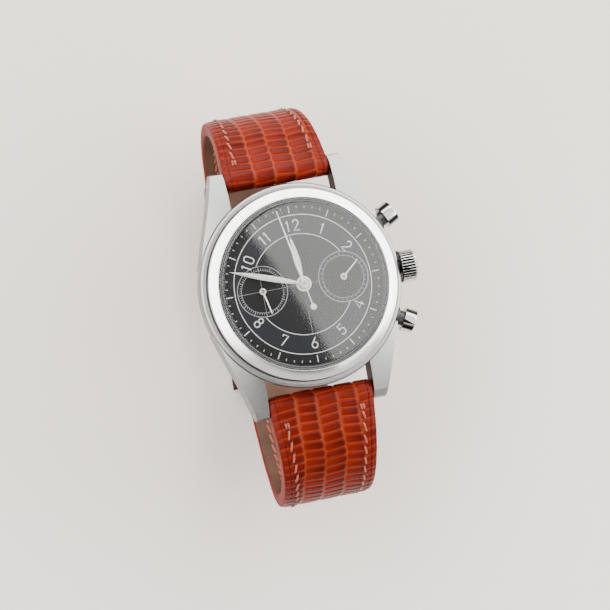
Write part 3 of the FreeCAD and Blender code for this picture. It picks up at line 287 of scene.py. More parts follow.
def seal(name):
    look = Look(name)
    grain = look.noise(3000, 4.0)
    look.paint(grain, (0.012, 0.012, 0.012, 1), (0.03, 0.03, 0.03, 1))
    look.roughness(grain, 0.6, 0.8)
    look.bump(grain, 0.3, 0.00002)
    return look.m


def ruby_stone(name):
    look = Look(name)
    cloud = look.noise(1500, 3.0)
    look.paint(cloud, srgb(150, 8, 40), srgb(205, 30, 75))
    look.roughness(cloud, 0.05, 0.12)
    look.set("Coat Weight", 0.6)
    look.set("Transmission Weight", 0.35)
    return look.m


def clear(name):
    """Thin clear crystal: see-through, with the reflections of a polished surface."""
    look = Look(name)
    smear = look.span(look.noise(200, 3.0), 0.3, 0.7, 0.1, 0.13)
    glossy = look.node("ShaderNodeBsdfGlossy", {"Roughness": smear})
    fresnel = look.node("ShaderNodeFresnel", {"IOR": 1.5}).outputs[0]
    share = look.calc("MINIMUM", look.times(fresnel, 3.2), 0.5)
    share = look.times(share, look.span(look.radius(), 14.75, 14.98, 1.0, 0.15))
    look.surface(share, look.node("ShaderNodeBsdfTransparent"), glossy)
    return look.m


def crystal_wall(name):
    """The crystal's thick edge, with its refraction and reflections seen from above painted on as fine light
    and dark rings.
    """
    look = Look(name)
    rings = look.calc("SINE", look.times(look.radius(), 2 * pi / 0.38))
    # painted reflection: light and dark rings in the colour
    look.paint(look.span(rings, -0.6, 0.7, smooth=True), srgb(12, 13, 14), srgb(92, 94, 95))
    look.roughness(look.noise(900), 0.08, 0.16)
    look.surface(look.span(rings, -1, 1, 0.8, 0.92), look.node("ShaderNodeBsdfTransparent"), look.bsdf)
    return look.m


def dial_paint(name):
    """Matt grained track, satin chapter ring, grained middle, and turned small dials."""
    look = Look(name)
    r = look.radius()
    left, right = look.radius(SMALL_X), look.radius(COUNTER_X)
    near = look.calc("MINIMUM", left, right)
    small = look.calc("LESS_THAN", near, SMALL_R)
    grain = look.noise(9500, 2.0)
    fine = look.noise(26000, 2.0)
    track = look.mix(look.span(grain, 0.35, 0.68), srgb(8, 9, 10), srgb(35, 36, 38))
    satin = look.mix(fine, srgb(27, 28, 34), srgb(36, 37, 43))
    middle = look.mix(look.span(grain, 0.3, 0.7), srgb(14, 14, 16), srgb(37, 37, 40))
    turned = look.mix(fine, srgb(12, 13, 14), srgb(22, 23, 25))
    colour = look.mix(look.calc("GREATER_THAN", r, RING_R), middle, satin)
    colour = look.mix(look.calc("GREATER_THAN", r, TRACK_R), colour, track)
    look.paint(small, colour, turned)
    grained = look.calc("MAXIMUM", look.calc("LESS_THAN", r, RING_R), look.calc("GREATER_THAN", r, TRACK_R))
    grained = look.times(grained, look.calc("SUBTRACT", 1.0, small))
    look.set("Roughness", look.span(grained, 0, 1, 0.45, 0.65))
    look.set("Specular IOR Level", 0.25)
    rings = look.calc("SINE", look.times(near, 2 * pi / 0.19))
    turned_height = look.times(look.times(rings, small), 0.35)
    look.bump(look.plus(look.times(grain, grained), turned_height), 0.55, 0.00004)
    return look.m


def flat_paint(name, light, dark, scale, low, high):
    look = Look(name)
    look.paint(look.noise(scale), light, dark)
    look.roughness(look.noise(2500), low, high)
    return look.m


def leather(name):
    """Glossy dyed lizard: deep red scales with orange between them."""
    look = Look(name)
    groove, tone_and_painted_shade, crease = (look.attribute(n) for n in ("groove", "tone_and_painted_shade", "crease"))
    cloud, pores = look.noise(420, 4.0), look.noise(5200, 3.0)
    # Scale colour: random tone together with painted shade across each scale.
    deep = look.mix(look.span(tone_and_painted_shade, 0, 1), srgb(56, 6, 3), srgb(118, 27, 10))
    deep = look.mix(look.times(look.span(cloud, 0.35, 0.7), 0.4), deep, srgb(98, 17, 6))
    orange = look.mix(look.span(cloud, 0.3, 0.7), srgb(118, 38, 11), srgb(138, 50, 18))
    colour = look.mix(look.span(groove, 0.15, 0.85, smooth=True), deep, orange)
    colour = look.mix(look.times(crease, 0.85), colour, srgb(40, 5, 3))
    look.set("Base Color", colour)
    look.set("Roughness", look.plus(look.span(pores, 0.3, 0.7, 0.24, 0.36), look.times(groove, 0.12)))
    look.set("Specular IOR Level", 0.07)
    look.set("Coat Weight", 0.05)
    look.set("Coat Roughness", 0.14)
    look.bump(look.plus(look.times(pores, 0.6), cloud), 0.25, 0.00005)
    return look.m


def edge_paint(name):
    look = Look(name)
    cloud = look.noise(700, 4.0)
    look.paint(look.span(cloud, 0.3, 0.7), srgb(104, 25, 16), srgb(126, 38, 26))
    look.roughness(cloud, 0.34, 0.46)
    look.set("Specular IOR Level", 0.02)
    look.bump(cloud, 0.2, 0.00008)
    return look.m


def lining(name):
    look = Look(name)
    grain, cloud = look.noise(3800, 5.0), look.noise(260, 4.0)
    look.paint(look.span(cloud, 0.3, 0.7), srgb(62, 36, 20), srgb(88, 54, 32))
    look.roughness(grain, 0.5, 0.7)
    look.bump(grain, 0.5, 0.00006)
    return look.m


def thread(name):
    look = Look(name)
    twist = look.noise(5200, 2.0, look.moved((1, 0.35, 1), (0, 0, 0.7)))
    look.paint(look.span(twist, 0.35, 0.65), srgb(136, 46, 24), srgb(176, 76, 44))
    look.roughness(twist, 0.5, 0.65)
    look.set("Sheen Weight", 0.25)
    look.bump(twist, 0.5, 0.00006)
    return look.m


STEEL, WHITE_STEEL = (0.62, 0.62, 0.615, 1), (0.8, 0.8, 0.795, 1)
M = {
    "case": brushed(
        "case_brushed", (0.31, 0.31, 0.308, 1), 0.24, (0, 0, radians(-48)),
        depth=0.1, scale=14000, bend=(0.023, 0.0156),
    ),
    "flange": snailed("flange_satin", (0.42, 0.418, 0.41, 1), 0.09, 0.3),
    "bezel": polished("bezel_polished", (0.97, 0.97, 0.965, 1), 0.12),
    "polished": polished("polished_steel", WHITE_STEEL, 0.05),
    "pusher": pusher_metal("pusher_steel"),
    "crown": fluted_metal("crown_steel", joint_mm("crown_turn")[2], 3.05, 0.12, 21.75),
    "neck": brushed("neck_satin", (0.1, 0.1, 0.105, 1), 0.45, (0, 0, 0), (1, 0.1, 1)),
    "back": brushed("case_back_brushed", STEEL, 0.26, (0, 0, 0), (0.03, 1, 1)),
    "crystal": clear("crystal_clear"),
    "crystal_wall": crystal_wall("crystal_edge"),
    "seal": seal("seal_rubber"),
    "dial": dial_paint("dial_lacquer"),
    "print": flat_paint("dial_print", srgb(232, 232, 230), srgb(210, 210, 209), 5000, 0.4, 0.6),
    "faint": flat_paint("dial_print_faint", srgb(172, 173, 175), srgb(148, 149, 152), 5000, 0.4, 0.6),
    "hand": polished("hand_silver", (0.9, 0.9, 0.895, 1), 0.25, 0.4),
    "plate": striped("bridge_striped", (0.74, 0.66, 0.5, 1)),
    "gilt": snailed("wheel_gilt", (0.82, 0.62, 0.3, 1), 0.12, 0.24),
    "train": snailed("steel_snailed", (0.55, 0.55, 0.57, 1), 0.1, 0.22),
    "lever": brushed("lever_grained", (0.6, 0.6, 0.62, 1), 0.25, (0, 0, 0.5), (0.06, 1, 1)),
    "blue": brushed("spring_blued", (0.05, 0.09, 0.32, 1), 0.22, (0, 0, 0), (1, 0.2, 1)),
    "screw": polished("screw_polished", (0.6, 0.6, 0.63, 1), 0.1),
    "ruby": ruby_stone("ruby"),
    "leather": leather("lizard_leather"),
    "edge": edge_paint("edge_paint"),
    "lining": lining("lining_leather"),
    "thread": thread("coral_thread"),
    # Dark red-brown: paint on the strap-hole rims, and painted shade where it marks the stitch holes.
    "hole": flat_paint("rim_paint_and_hole_shade", srgb(40, 8, 6), srgb(66, 16, 10), 3000, 0.7, 0.85),
}

WEAR = {
    "case": ["mid_case", "spring_bars", "spring_bar_pin_12", "spring_bar_pin_6"],
    "neck": ["case_tubes"],
    "polished": ["bezel", "buckle_frame", "buckle_tang"],
    "crown": ["crown"],
    "pusher": ["start_pusher", "reset_pusher"],
    "back": ["case_back"],
    "crystal": ["crystal"],
    "seal": ["crystal_seat", "case_back_gasket"],
    "dial": ["dial"],
    "hand": ["hour_hand", "minute_hand", "chronograph_hand", "small_seconds_hand", "minute_counter_hand"],
    "plate": [
        "main_plate", "barrel_bridge", "train_bridge", "balance_cock", "pallet_cock", "chronograph_bridge",
        "movement_ring",
    ],
    "gilt": [
        "barrel", "centre_wheel", "third_wheel", "fourth_wheel", "minute_wheel", "hour_wheel",
        "chronograph_runner", "minute_counter_wheel", "coupling_wheel", "balance_wheel",
    ],
    "train": [
        "ratchet_wheel", "crown_wheel", "escape_wheel", "winding_pinion", "winding_stem", "clutch_wheel",
        "column_wheel",
    ],
    "lever": [
        "setting_lever", "click", "operating_lever", "clutch_lever", "reset_hammer", "brake_lever",
        "pallet_fork",
    ],
    "blue": ["mainspring", "hairspring"],
    "screw": ["bridge_screws"],
    "ruby": ["jewels"],
    "leather": ["strap_12", "strap_6", "fixed_keeper", "free_keeper"],
}
for key, nodes in WEAR.items():
    for node in nodes:
        NODES[node].data.materials.clear()
        NODES[node].data.materials.append(M[key])


def soften(node, width):
    """Rounds a metal part's sharp edges a little."""
    o = NODES[node]
    weld = o.modifiers.new("weld", "WELD")
    weld.merge_threshold = 2e-6
    bevel = o.modifiers.new("bevel", "BEVEL")
    bevel.width = width / 1000
    bevel.segments = 2
    bevel.limit_method = "ANGLE"
    bevel.angle_limit = radians(32)
    bevel.harden_normals = True


for node, width in (
    ("mid_case", 0.1), ("crown", 0.05), ("start_pusher", 0.12), ("reset_pusher", 0.12),
    ("buckle_frame", 0.3), ("buckle_tang", 0.15), ("case_back", 0.08),
):
    soften(node, width)


# ---- mesh helpers ----
class Build:
    """Collects vertices and faces in millimetres, then makes one piece."""

    def __init__(self):
        self.v, self.f, self.slots, self.extra = [], [], [], {}

    def add(self, verts, faces):
        base = len(self.v)
        self.v.extend(verts)
        self.f.extend(tuple(i + base for i in f) for f in faces)
        self.slots.extend([0] * len(faces))

    def note(self, groove, tone_and_painted_shade, crease):
        """The leather's values for the vertices that were added last."""
        for key, values in (("groove", groove), ("tone_and_painted_shade", tone_and_painted_shade), ("crease", crease)):
            self.extra.setdefault(key, []).extend(values)

    def make(self, name, looks, body, angle=40.0):
        mesh = bpy.data.meshes.new(name)
        mesh.from_pydata([(x / 1000, y / 1000, z / 1000) for x, y, z in self.v], [], self.f)
        for look in looks:
            mesh.materials.append(M[look])
        if len(looks) > 1:
            mesh.polygons.foreach_set("material_index", self.slots)
        for key, values in self.extra.items():
            data = mesh.attributes.new(key, "FLOAT", "POINT").data
            data.foreach_set("value", np.asarray(values, np.float32))
        mesh.shade_smooth()
        mesh.set_sharp_from_angle(angle=radians(angle))
        mesh.update()
        o = bpy.data.objects.new(name, mesh)
        bpy.context.scene.collection.objects.link(o)
        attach(o, body)
        return o


def lathe(build, profile, centre=(0.0, 0.0), count=192, slots=None, closed=True):
    """Turns (radius, z) points round an upright axis. slots gives each profile edge's material place."""
    cx, cy = centre
    n = len(profile)
    verts = []
    for i in range(count):
        a = 2 * pi * i / count
        verts += [(cx + r * cos(a), cy + r * sin(a), z) for r, z in profile]
    base = len(build.v)
    build.v.extend(verts)
    for i in range(count):
        for k in range(n if closed else n - 1):
            a, b = base + i * n, base + ((i + 1) % count) * n
            l = (k + 1) % n
            build.f.append((a + k, b + k, b + l, a + l))
            build.slots.append(slots[k] if slots else 0)


def rounded(profile, radius, steps=3):
    """Rounds a closed profile's corners."""
    out = []
    n = len(profile)
    for i in range(n):
        p, a, b = (Vector(profile[j % n]) for j in (i, i - 1, i + 1))
        reach = min(radius, (a - p).length * 0.45, (b - p).length * 0.45)
        start, end = p + (a - p).normalized() * reach, p + (b - p).normalized() * reach
        for k in range(steps + 1):
            t = k / steps
            out.append(tuple((1 - t) ** 2 * start + 2 * t * (1 - t) * p + t * t * end))
    return out


def flat_ring(build, inner, outer, z0, z1, centre=(0.0, 0.0), count=160, slot=0):
    lathe(build, [(inner, z0), (inner, z1), (outer, z1), (outer, z0)], centre, count, [slot] * 4)


def bar_box(build, a, b, width, z0, z1):
    """A thin straight bar from a to b in plan."""
    d = (Vector(b) - Vector(a)).normalized()
    n = Vector((-d.y, d.x)) * width / 2
    a, b = Vector(a), Vector(b)
    plan = [a + n, b + n, b - n, a - n]
    verts = [(p.x, p.y, z) for z in (z0, z1) for p in plan]
    sides = [(i, (i + 1) % 4, 4 + (i + 1) % 4, 4 + i) for i in range(4)]
    build.add(verts, [(3, 2, 1, 0), (4, 5, 6, 7)] + sides)


def around(radius, degrees, centre=(0.0, 0.0)):
    """A point at a clock angle: degrees clockwise from 12 o'clock."""
    a = radians(90 - degrees)
    return (centre[0] + radius * cos(a), centre[1] + radius * sin(a))


def tube_path(build, points, radius, flat=1.0, sides=8):
    """A tube through points, flattened along z by flat, with round ends."""
    pts = [Vector(p) for p in points]
    rings, n = [], len(pts)
    for i, p in enumerate(pts):
        d = (pts[min(i + 1, n - 1)] - pts[max(i - 1, 0)]).normalized()
        side = d.cross(Vector((0, 0, 1)))
        side = side.normalized() if side.length > 1e-6 else Vector((1, 0, 0))
        up = side.cross(d)
        caps = [(-0.98, 0.2), (-0.7, 0.7)] if i == 0 else [(0.7, 0.7), (0.98, 0.2)] if i == n - 1 else []
        body = [(0.0, 1.0)]
        for push, share in caps + body if i == 0 else body + caps:
            ring = []
            for k in range(sides):
                a = 2 * pi * k / sides
                q = p + d * push * radius + (side * cos(a) + up * sin(a)) * radius * share
                ring.append((q.x, q.y, p.z + (q.z - p.z) * flat))
            rings.append(ring)
    faces = []
    for i in range(len(rings) - 1):
        for k in range(sides):
            l = (k + 1) % sides
            faces.append((i * sides + k, i * sides + l, (i + 1) * sides + l, (i + 1) * sides + k))
    last = (len(rings) - 1) * sides
    faces += [tuple(reversed(range(sides))), tuple(range(last, last + sides))]
    build.add([v for ring in rings for v in ring], faces)


# ---- pusher caps ----
def make_cap(name, joint, body):
    """A pump pusher's cap: a plain drum with small rounded edges, turned round the pusher's own axis."""
    out = Vector(JOINTS[joint]["axis"])
    out = -out if out.x < 0 else out
    side, up = Vector((-out.y, out.x, 0)), Vector((0, 0, 1))
    inner, outer, radius = 20.34, 22.62, 2.24
    near_rim = [(radius - 0.08, inner), (radius, inner + 0.08)]
    far_rim = [(radius, outer - 0.2), (radius - 0.06, outer - 0.06), (radius - 0.2, outer)]
    cap = Build()
    lathe(cap, [(0.0, inner)] + near_rim + far_rim + [(0.0, outer)], count=96, closed=False)
    height = Vector((0, 0, joint_mm("crown_turn")[2]))
    cap.v = [tuple(height + out * along + side * x + up * y) for x, y, along in cap.v]
    cap.make(name, ["pusher"], body, angle=30)


make_cap("start_pusher_cap", "start_press", "start_button")
make_cap("reset_pusher_cap", "reset_press", "reset_button")


# ---- bezel, crystal and flange ----
def z(height):
    """A height above the case back's outer face."""
    return BACK_Z + height


bezel = Build()
bezel_profile = [
    (17.0, z(6.45)), (17.72, z(6.45)), (17.74, z(8.1)), (17.66, z(8.28)), (16.0, z(9.0)), (15.86, z(8.93)),
    (15.86, z(7.66)), (17.0, z(7.66)),
]
lathe(bezel, rounded(bezel_profile, 0.07, 4), count=256)
o = bezel.make("bezel_ring", ["bezel"], "watch")
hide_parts("bezel")

flange = Build()
flange_profile = [(17.76, z(6.35)), (17.76, z(6.42)), (18.4, z(6.42)), (18.79, z(6.27)), (18.79, z(6.2))]
lathe(flange, rounded(flange_profile, 0.08), count=256)
flat_ring(flange, 17.7, 17.9, z(6.4), z(6.45), count=256, slot=1)
flange.make("flange_face", ["flange", "seal"], "watch")

crystal = Build()


def dome_points(radius, edge, rise, steps):
    """A dome's profile from just inside its edge to its middle."""
    ball = (radius * radius + rise * rise) / (2 * rise)
    spots = [radius * (1 - k / steps) for k in range(1, steps + 1)]
    return [(r, edge + rise - ball + sqrt(ball * ball - r**2)) for r in spots]


CRYSTAL_EDGE = 15.45
outer = [(15.8, z(7.96)), (15.8, z(10.1)), (15.74, z(10.3)), (15.6, z(10.5)), (CRYSTAL_EDGE, z(10.6))]
outer += dome_points(CRYSTAL_EDGE, z(10.6), 1.9, 26)
lathe(crystal, outer, count=192, slots=[0] * 40, closed=False)
lathe(crystal, [(15.78, z(9.2)), (15.4, z(9.24)), (15.02, z(9.2))], count=192, slots=[1, 1], closed=False)
lathe(crystal, [(15.8, z(7.96)), (15.0, z(7.96)), (15.0, z(9.7))], count=192, slots=[0, 0], closed=False)
o = crystal.make("crystal_dome", ["crystal", "crystal_wall"], "watch", angle=60)
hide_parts("crystal")

# ---- dial printing ----
TOP = DIAL_Z
LOW = DIAL_Z - 0.1  # floor of the small dials
LIFT = 0.018
small_dials = [((SMALL_X, 0.0), 60), ((COUNTER_X, 0.0), 30)]


def clear_of_small(point, reach=4.75):
    return all(math.dist(point, c) > reach for c, _ in small_dials)


ink = Build()
flat_ring(ink, TRACK_R - 0.07, TRACK_R + 0.07, TOP, TOP + LIFT, count=240)
steps = 360
for i in range(steps):
    a, b = around(RING_R, i * 360 / steps), around(RING_R, (i + 1) * 360 / steps)
    if clear_of_small(a) and clear_of_small(b):
        bar_box(ink, a, b, 0.13, TOP, TOP + LIFT)
for i in range(60):
    inside, outside, wide = (13.3, 14.6, 0.18) if i % 5 == 0 else (14.1, 14.5, 0.13)
    bar_box(ink, around(inside, i * 6), around(outside, i * 6), wide, TOP, TOP + LIFT)


def arc(cx, cy, rx, ry, start, end, count=14):
    """Points on an oval; angles in degrees, anticlockwise from +x."""
    turns = [radians(start + (end - start) * k / count) for k in range(count + 1)]
    return [(cx + rx * cos(a), cy + ry * sin(a)) for a in turns]


# Each figure is a list of strokes in a box from (0, 0) to (0.56, 1).
FIGURES = {
    "0": [arc(0.28, 0.72, 0.27, 0.28, 0, 180) + arc(0.28, 0.28, 0.27, 0.28, 180, 360) + [(0.55, 0.72)]],
    "1": [[(0.16, 0.84), (0.3, 1.0), (0.3, 0.0)]],
    "2": [arc(0.28, 0.73, 0.26, 0.27, 165, -20) + [(0.42, 0.48), (0.02, 0.0), (0.56, 0.0)]],
    "4": [[(0.44, 0.0), (0.44, 1.0), (0.0, 0.27), (0.58, 0.27)]],
    "5": [[(0.5, 1.0), (0.1, 1.0), (0.06, 0.56)] + arc(0.27, 0.32, 0.27, 0.32, 130, -145)],
    "6": [[(0.42, 1.0), (0.1, 0.5)] + arc(0.28, 0.29, 0.27, 0.29, 140, 500, 24)],
    "7": [[(0.02, 0.85), (0.02, 1.0), (0.54, 1.0), (0.2, 0.0)]],
    "8": [arc(0.28, 0.76, 0.22, 0.24, 0, 360, 22), arc(0.28, 0.27, 0.27, 0.27, 0, 360, 24)],
}
HEIGHT = 1.92
for hour in (12, 1, 2, 4, 5, 6, 7, 8, 10, 11):
    text = str(hour)
    turned_in = 4 <= hour <= 8
    cx, cy = around(10.97, hour * 30)
    turn = radians(-hour * 30 + (180 if turned_in else 0))
    gap, wide = 0.26, 0.3 if text == "11" else 0.56
    total = len(text) * wide + (len(text) - 1) * gap
    for k, char in enumerate(text):
        start = -total / 2 + k * (wide + gap) - (0.28 - wide / 2 if char == "1" or wide < 0.5 else 0.0)
        for stroke in FIGURES[char]:
            path = []
            for px, py in stroke:
                u, v = (px + start) * HEIGHT, (py - 0.5) * HEIGHT
                across, along = u * cos(turn) - v * sin(turn), u * sin(turn) + v * cos(turn)
                path.append((cx + across, cy + along, TOP))
            tube_path(ink, path, 0.11, 0.25)
ink.make("dial_printing", ["print"], "watch", angle=50)

faint = Build()
for centre, marks in small_dials:
    flat_ring(faint, 3.86, 3.93, LOW, LOW + LIFT, centre, 120)
    wall = [(4.58, LOW), (4.6, LOW + 0.05), (SMALL_R, TOP + 0.01), (4.74, TOP)]
    lathe(faint, wall, centre, 120, closed=False)
    for i in range(marks):
        outside, wide = (4.5, 0.12) if i % 5 == 0 else (4.28, 0.09)
        a, b = around(3.93, i * 360 / marks, centre), around(outside, i * 360 / marks, centre)
        bar_box(faint, a, b, wide, LOW, LOW + LIFT)
for dx, dy in ((-1, 0), (1, 0), (0, 1), (0, -1)):
    a, b = (SMALL_X + 0.5 * dx, 0.5 * dy), (SMALL_X + 3.86 * dx, 3.86 * dy)
    bar_box(faint, a, b, 0.06, LOW, LOW + LIFT)
for a, b in (((-3.0, 0), (-1.5, 0)), ((1.5, 0), (2.95, 0)), ((0, -1.5), (0, -9.2))):
    bar_box(faint, a, b, 0.06, TOP, TOP + LIFT)
faint.make("dial_fine_lines", ["faint"], "watch", angle=50)


# ---- hands ----
def hand_tip(node, centre):
    """The furthest point of a hand from its axis, in plan."""
    co = np.array([v.co for v in NODES[node].data.vertices])[:, :2] * 1000 - np.array(centre)
    far = co[np.argmax((co**2).sum(1))]
    return float(np.hypot(*far)), atan2(far[1], far[0])


def make_hand(node, body, centre, half_width, boss, hole, start, tail=0.0, thick=0.12):
    """A hand with a raised middle line, on its round boss, over the CAD hand that it stands for."""
    lo, hi = box_mm(node)
    length, angle = hand_tip(node, centre)
    base_z = lo[2]
    build = Build()
    count = 40
    verts, faces = [], []
    for i in range(count + 1):
        share = i / count
        along = start + (length - start) * share
        h = half_width(share)
        for across, up in ((-h, 0.0), (-h, 0.05), (0.0, thick), (h, 0.05), (h, 0.0)):
            x = centre[0] + along * cos(angle) - across * sin(angle)
            y = centre[1] + along * sin(angle) + across * cos(angle)
            verts.append((x, y, base_z + up))
    for i in range(count):
        for k in range(5):
            l = (k + 1) % 5
            faces.append((i * 5 + k, i * 5 + l, (i + 1) * 5 + l, (i + 1) * 5 + k))
    faces += [(0, 1, 2, 3, 4), tuple(count * 5 + k for k in (4, 3, 2, 1, 0))]
    build.add(verts, faces)
    ring = [(hole, base_z), (hole, base_z + thick), (boss, base_z + thick), (boss, base_z)]
    lathe(build, rounded(ring, 0.035, 2), centre, 72)
    if tail:
        a = angle + pi
        end = (centre[0] + tail * cos(a), centre[1] + tail * sin(a))
        near = (centre[0] + boss * 0.9 * cos(a), centre[1] + boss * 0.9 * sin(a))
        bar_box(build, near, end, 0.22, base_z + 0.02, base_z + thick - 0.02)
        disc = [(0.0, base_z), (0.0, base_z + thick), (0.6, base_z + thick), (0.6, base_z)]
        lathe(build, rounded(disc, 0.03, 2), end, 48)
    o = build.make(node + "_shaped", ["hand"], body, angle=20)
    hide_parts(node)


def leaf(width):
    """Half the width of a leaf-shaped hand, at a share t of its length."""
    return lambda t: (0.12 + (width / 2 - 0.12) * sin(pi * min(1.0, t) ** 0.8) ** 0.9) * (1 - 0.75 * t**8)


def needle(t):
    return 0.14 - 0.04 * t


def long_needle(t):
    return 0.16 - 0.06 * t


make_hand("hour_hand", "hour_train", (0, 0), leaf(1.2), 1.43, 0.98, 1.25)
make_hand("minute_hand", "centre_train", (0, 0), leaf(1.1), 0.86, 0.6, 0.75)
make_hand("chronograph_hand", "chrono_seconds", (0, 0), long_needle, 0.64, 0.33, 0.45, tail=4.55)
make_hand("small_seconds_hand", "seconds_train", (SMALL_X, 0), needle, 0.62, 0.26, 0.42, thick=0.1)
make_hand("minute_counter_hand", "chrono_minutes", (COUNTER_X, 0), needle, 0.62, 0.26, 0.42, thick=0.1)

for centre, body, hand, name in (
    ((0.0, 0.0), "chrono_seconds", "chronograph_hand", "centre_pin"),
    ((SMALL_X, 0.0), "seconds_train", "small_seconds_hand", "small_seconds_pin"),
    ((COUNTER_X, 0.0), "chrono_minutes", "minute_counter_hand", "counter_pin"),
):
    low, high = box_mm(hand)[0][2] - 0.02, box_mm(hand)[0][2] + 0.16
    pin = Build()
    lathe(pin, rounded([(0.0, low), (0.0, high), (0.28, high), (0.28, low)], 0.02, 2), centre, 40)
    pin.make(name, ["seal"], body)

# ---- strap ----
RUNS = {
    12: (-25.0, [(3.46, 0), (17.8, -65), (23.7, -90), (23.2, 0)]),
    6: (185.0, [(5.0, 0), (20.8, 85), (15.3, 73), (25.0, 0), (4.0, 17), (21.1, 0), (10.9, 35)]),
}
WIDE, NARROW, TAPER = 20.0, 16.0, 37.0
COLUMNS = {12: [-4.25, -0.25, 3.7, 7.6], 6: [-5.05, -1.1, 2.97, 6.65]}


def line_length(side):
    return sum(run[0] for run in RUNS[side][1])


def line_at(side, s):
    """Point and heading of a strap half's middle line, s millimetres from its bar."""
    heading, runs = RUNS[side]
    y, zz = (BAR_Y if side == 12 else -BAR_Y), BAR_Z
    h = radians(heading)
    for length, turn in runs:
        part = min(s, length)
        if turn:
            radius = length / radians(turn)
            a = h + part / radius
            y += radius * (sin(a) - sin(h))
            zz -= radius * (cos(a) - cos(h))
            h = a
        else:
            y += part * cos(h)
            zz += part * sin(h)
        s -= part
        if s <= 1e-9:
            break
    return y, zz, h


def half_width_at(side, s):
    w = (WIDE - (WIDE - NARROW) * min(1.0, max(0.0, s) / TAPER)) / 2
    w -= 0.32 * exp(-(((s - 13) / 9) ** 2)) * (1.0 if side == 6 else 0.35)
    left = line_length(side) - s
    if side == 6 and left < 8.0:
        w = min(w, sqrt(max(0.04, 64 - (8.0 - left) ** 2)))
    return w


def thickness_at(s):
    return 2.1 + 1.9 * max(0.0, 1 - max(0.0, s) / 38.0) ** 1.3


def smooth(a, low, high):
    t = np.clip((a - low) / (high - low), 0, 1)
    return t * t * (3 - 2 * t)


def scales(x, s, side, half):
    """Height (mm), groove share, and tone with painted shade across each scale, of the hide at x across and s
    along, for arrays of one shape.
    """
    table = np.random.RandomState(40 + side)
    jitter = table.rand(8, 120, 4)
    borders = np.array([-30.0] + COLUMNS[side] + [30.0])
    wave = 0.16 * np.sin(s * 0.21 + side) + 0.1 * np.sin(s * 0.57 + 2.0)
    xx = x - wave
    column = np.clip(np.searchsorted(borders, xx, side="right") - 1, 0, 4)
    left, right = borders[column], borders[column + 1]
    left = np.maximum(left, -half - 1.2)
    right = np.minimum(right, half + 1.2)
    mid, reach = (left + right) / 2, (right - left) / 2
    across = (xx - mid) / np.maximum(reach, 0.2)
    shift = np.array([0.35, 0.9, 0.15, 0.6, 1.15])[column]
    tilt = np.array([0.25, -0.12, 0.18, -0.2, 0.3])[column]
    bend = 0.12 * np.sin(s * 0.4 + column * 1.7)
    along = s + 3.4 + shift + tilt * across + bend
    # rows: wide ones over the bar, narrower further on
    pitch = 1.62
    first = 2.35
    q = np.where(along < 2 * first, along / first, 2 + (along - 2 * first) / pitch)
    row = np.floor(q).astype(int)
    rowx = np.clip(row, 0, 119)
    j = jitter[column, rowx]
    size = np.where(row < 2, first, pitch)
    f = (q - row - 0.5) * size
    hx, hy = reach - 0.11 - 0.06 * j[..., 0], size / 2 - 0.055
    corner = 0.5
    dx = np.abs(xx - mid) - (hx - corner)
    dy = np.abs(f) - np.maximum(hy - corner, 0.05)
    corner_y = np.minimum(corner, hy)
    inside = np.sqrt(np.maximum(dx, 0) ** 2 + np.maximum(dy * (corner / np.maximum(corner_y, 0.1)), 0) ** 2)
    edge = inside + np.minimum(np.maximum(dx, dy), 0) - corner
    groove = 1 - smooth(-edge, -0.05, 0.07)
    height = 0.15 * smooth(-edge, -0.05, 0.36) + 0.03 * (1 - across**2)
    # Painted shade across each scale: darker towards its right side and lighter near its ends and edges; the
    # jitter adds random tone.
    shade = 0.5 - 0.5 * across + 0.35 * (np.abs(f) / size) + 0.4 * (j[..., 1] - 0.5)
    shade = shade * 0.75 + 0.25 * smooth(edge, -0.5, 0.0)
    return height, groove, np.clip(shade, 0, 1)


def top_profile(side, s_col, x, half, dip=True):
    """Displacement and attributes of the strap's face for grids of x and s."""
    height, groove, tone_and_painted_shade = scales(x, s_col, side, half)
    edge = half - np.abs(x)
    crease = np.exp(-(((edge - 1.15) / 0.1) ** 2))
    flat = smooth(edge, 0.1, 1.0)
    height = height * (0.45 + 0.55 * flat) - 0.12 * crease
    pad = 0.16 * np.clip(1 - s_col / 30, 0, 1) * (1 - (x / half) ** 2)
    slope = -0.12 * (1 - smooth(edge, 0.0, 0.9))
    return height - 0.17 + pad + slope, groove * (0.35 + 0.65 * flat), tone_and_painted_shade, crease


HOLES = (49.8, 56.1, 68.7, 75.0, 81.3)
SLOT = (59.6, 65.2)  # along the 6 o'clock half


def in_hole(x, s):
    for h in HOLES:
        if x * x + (s - h) ** 2 < 1.0:
            return True
    return abs(x) < 1.15 and SLOT[0] < s < SLOT[1]


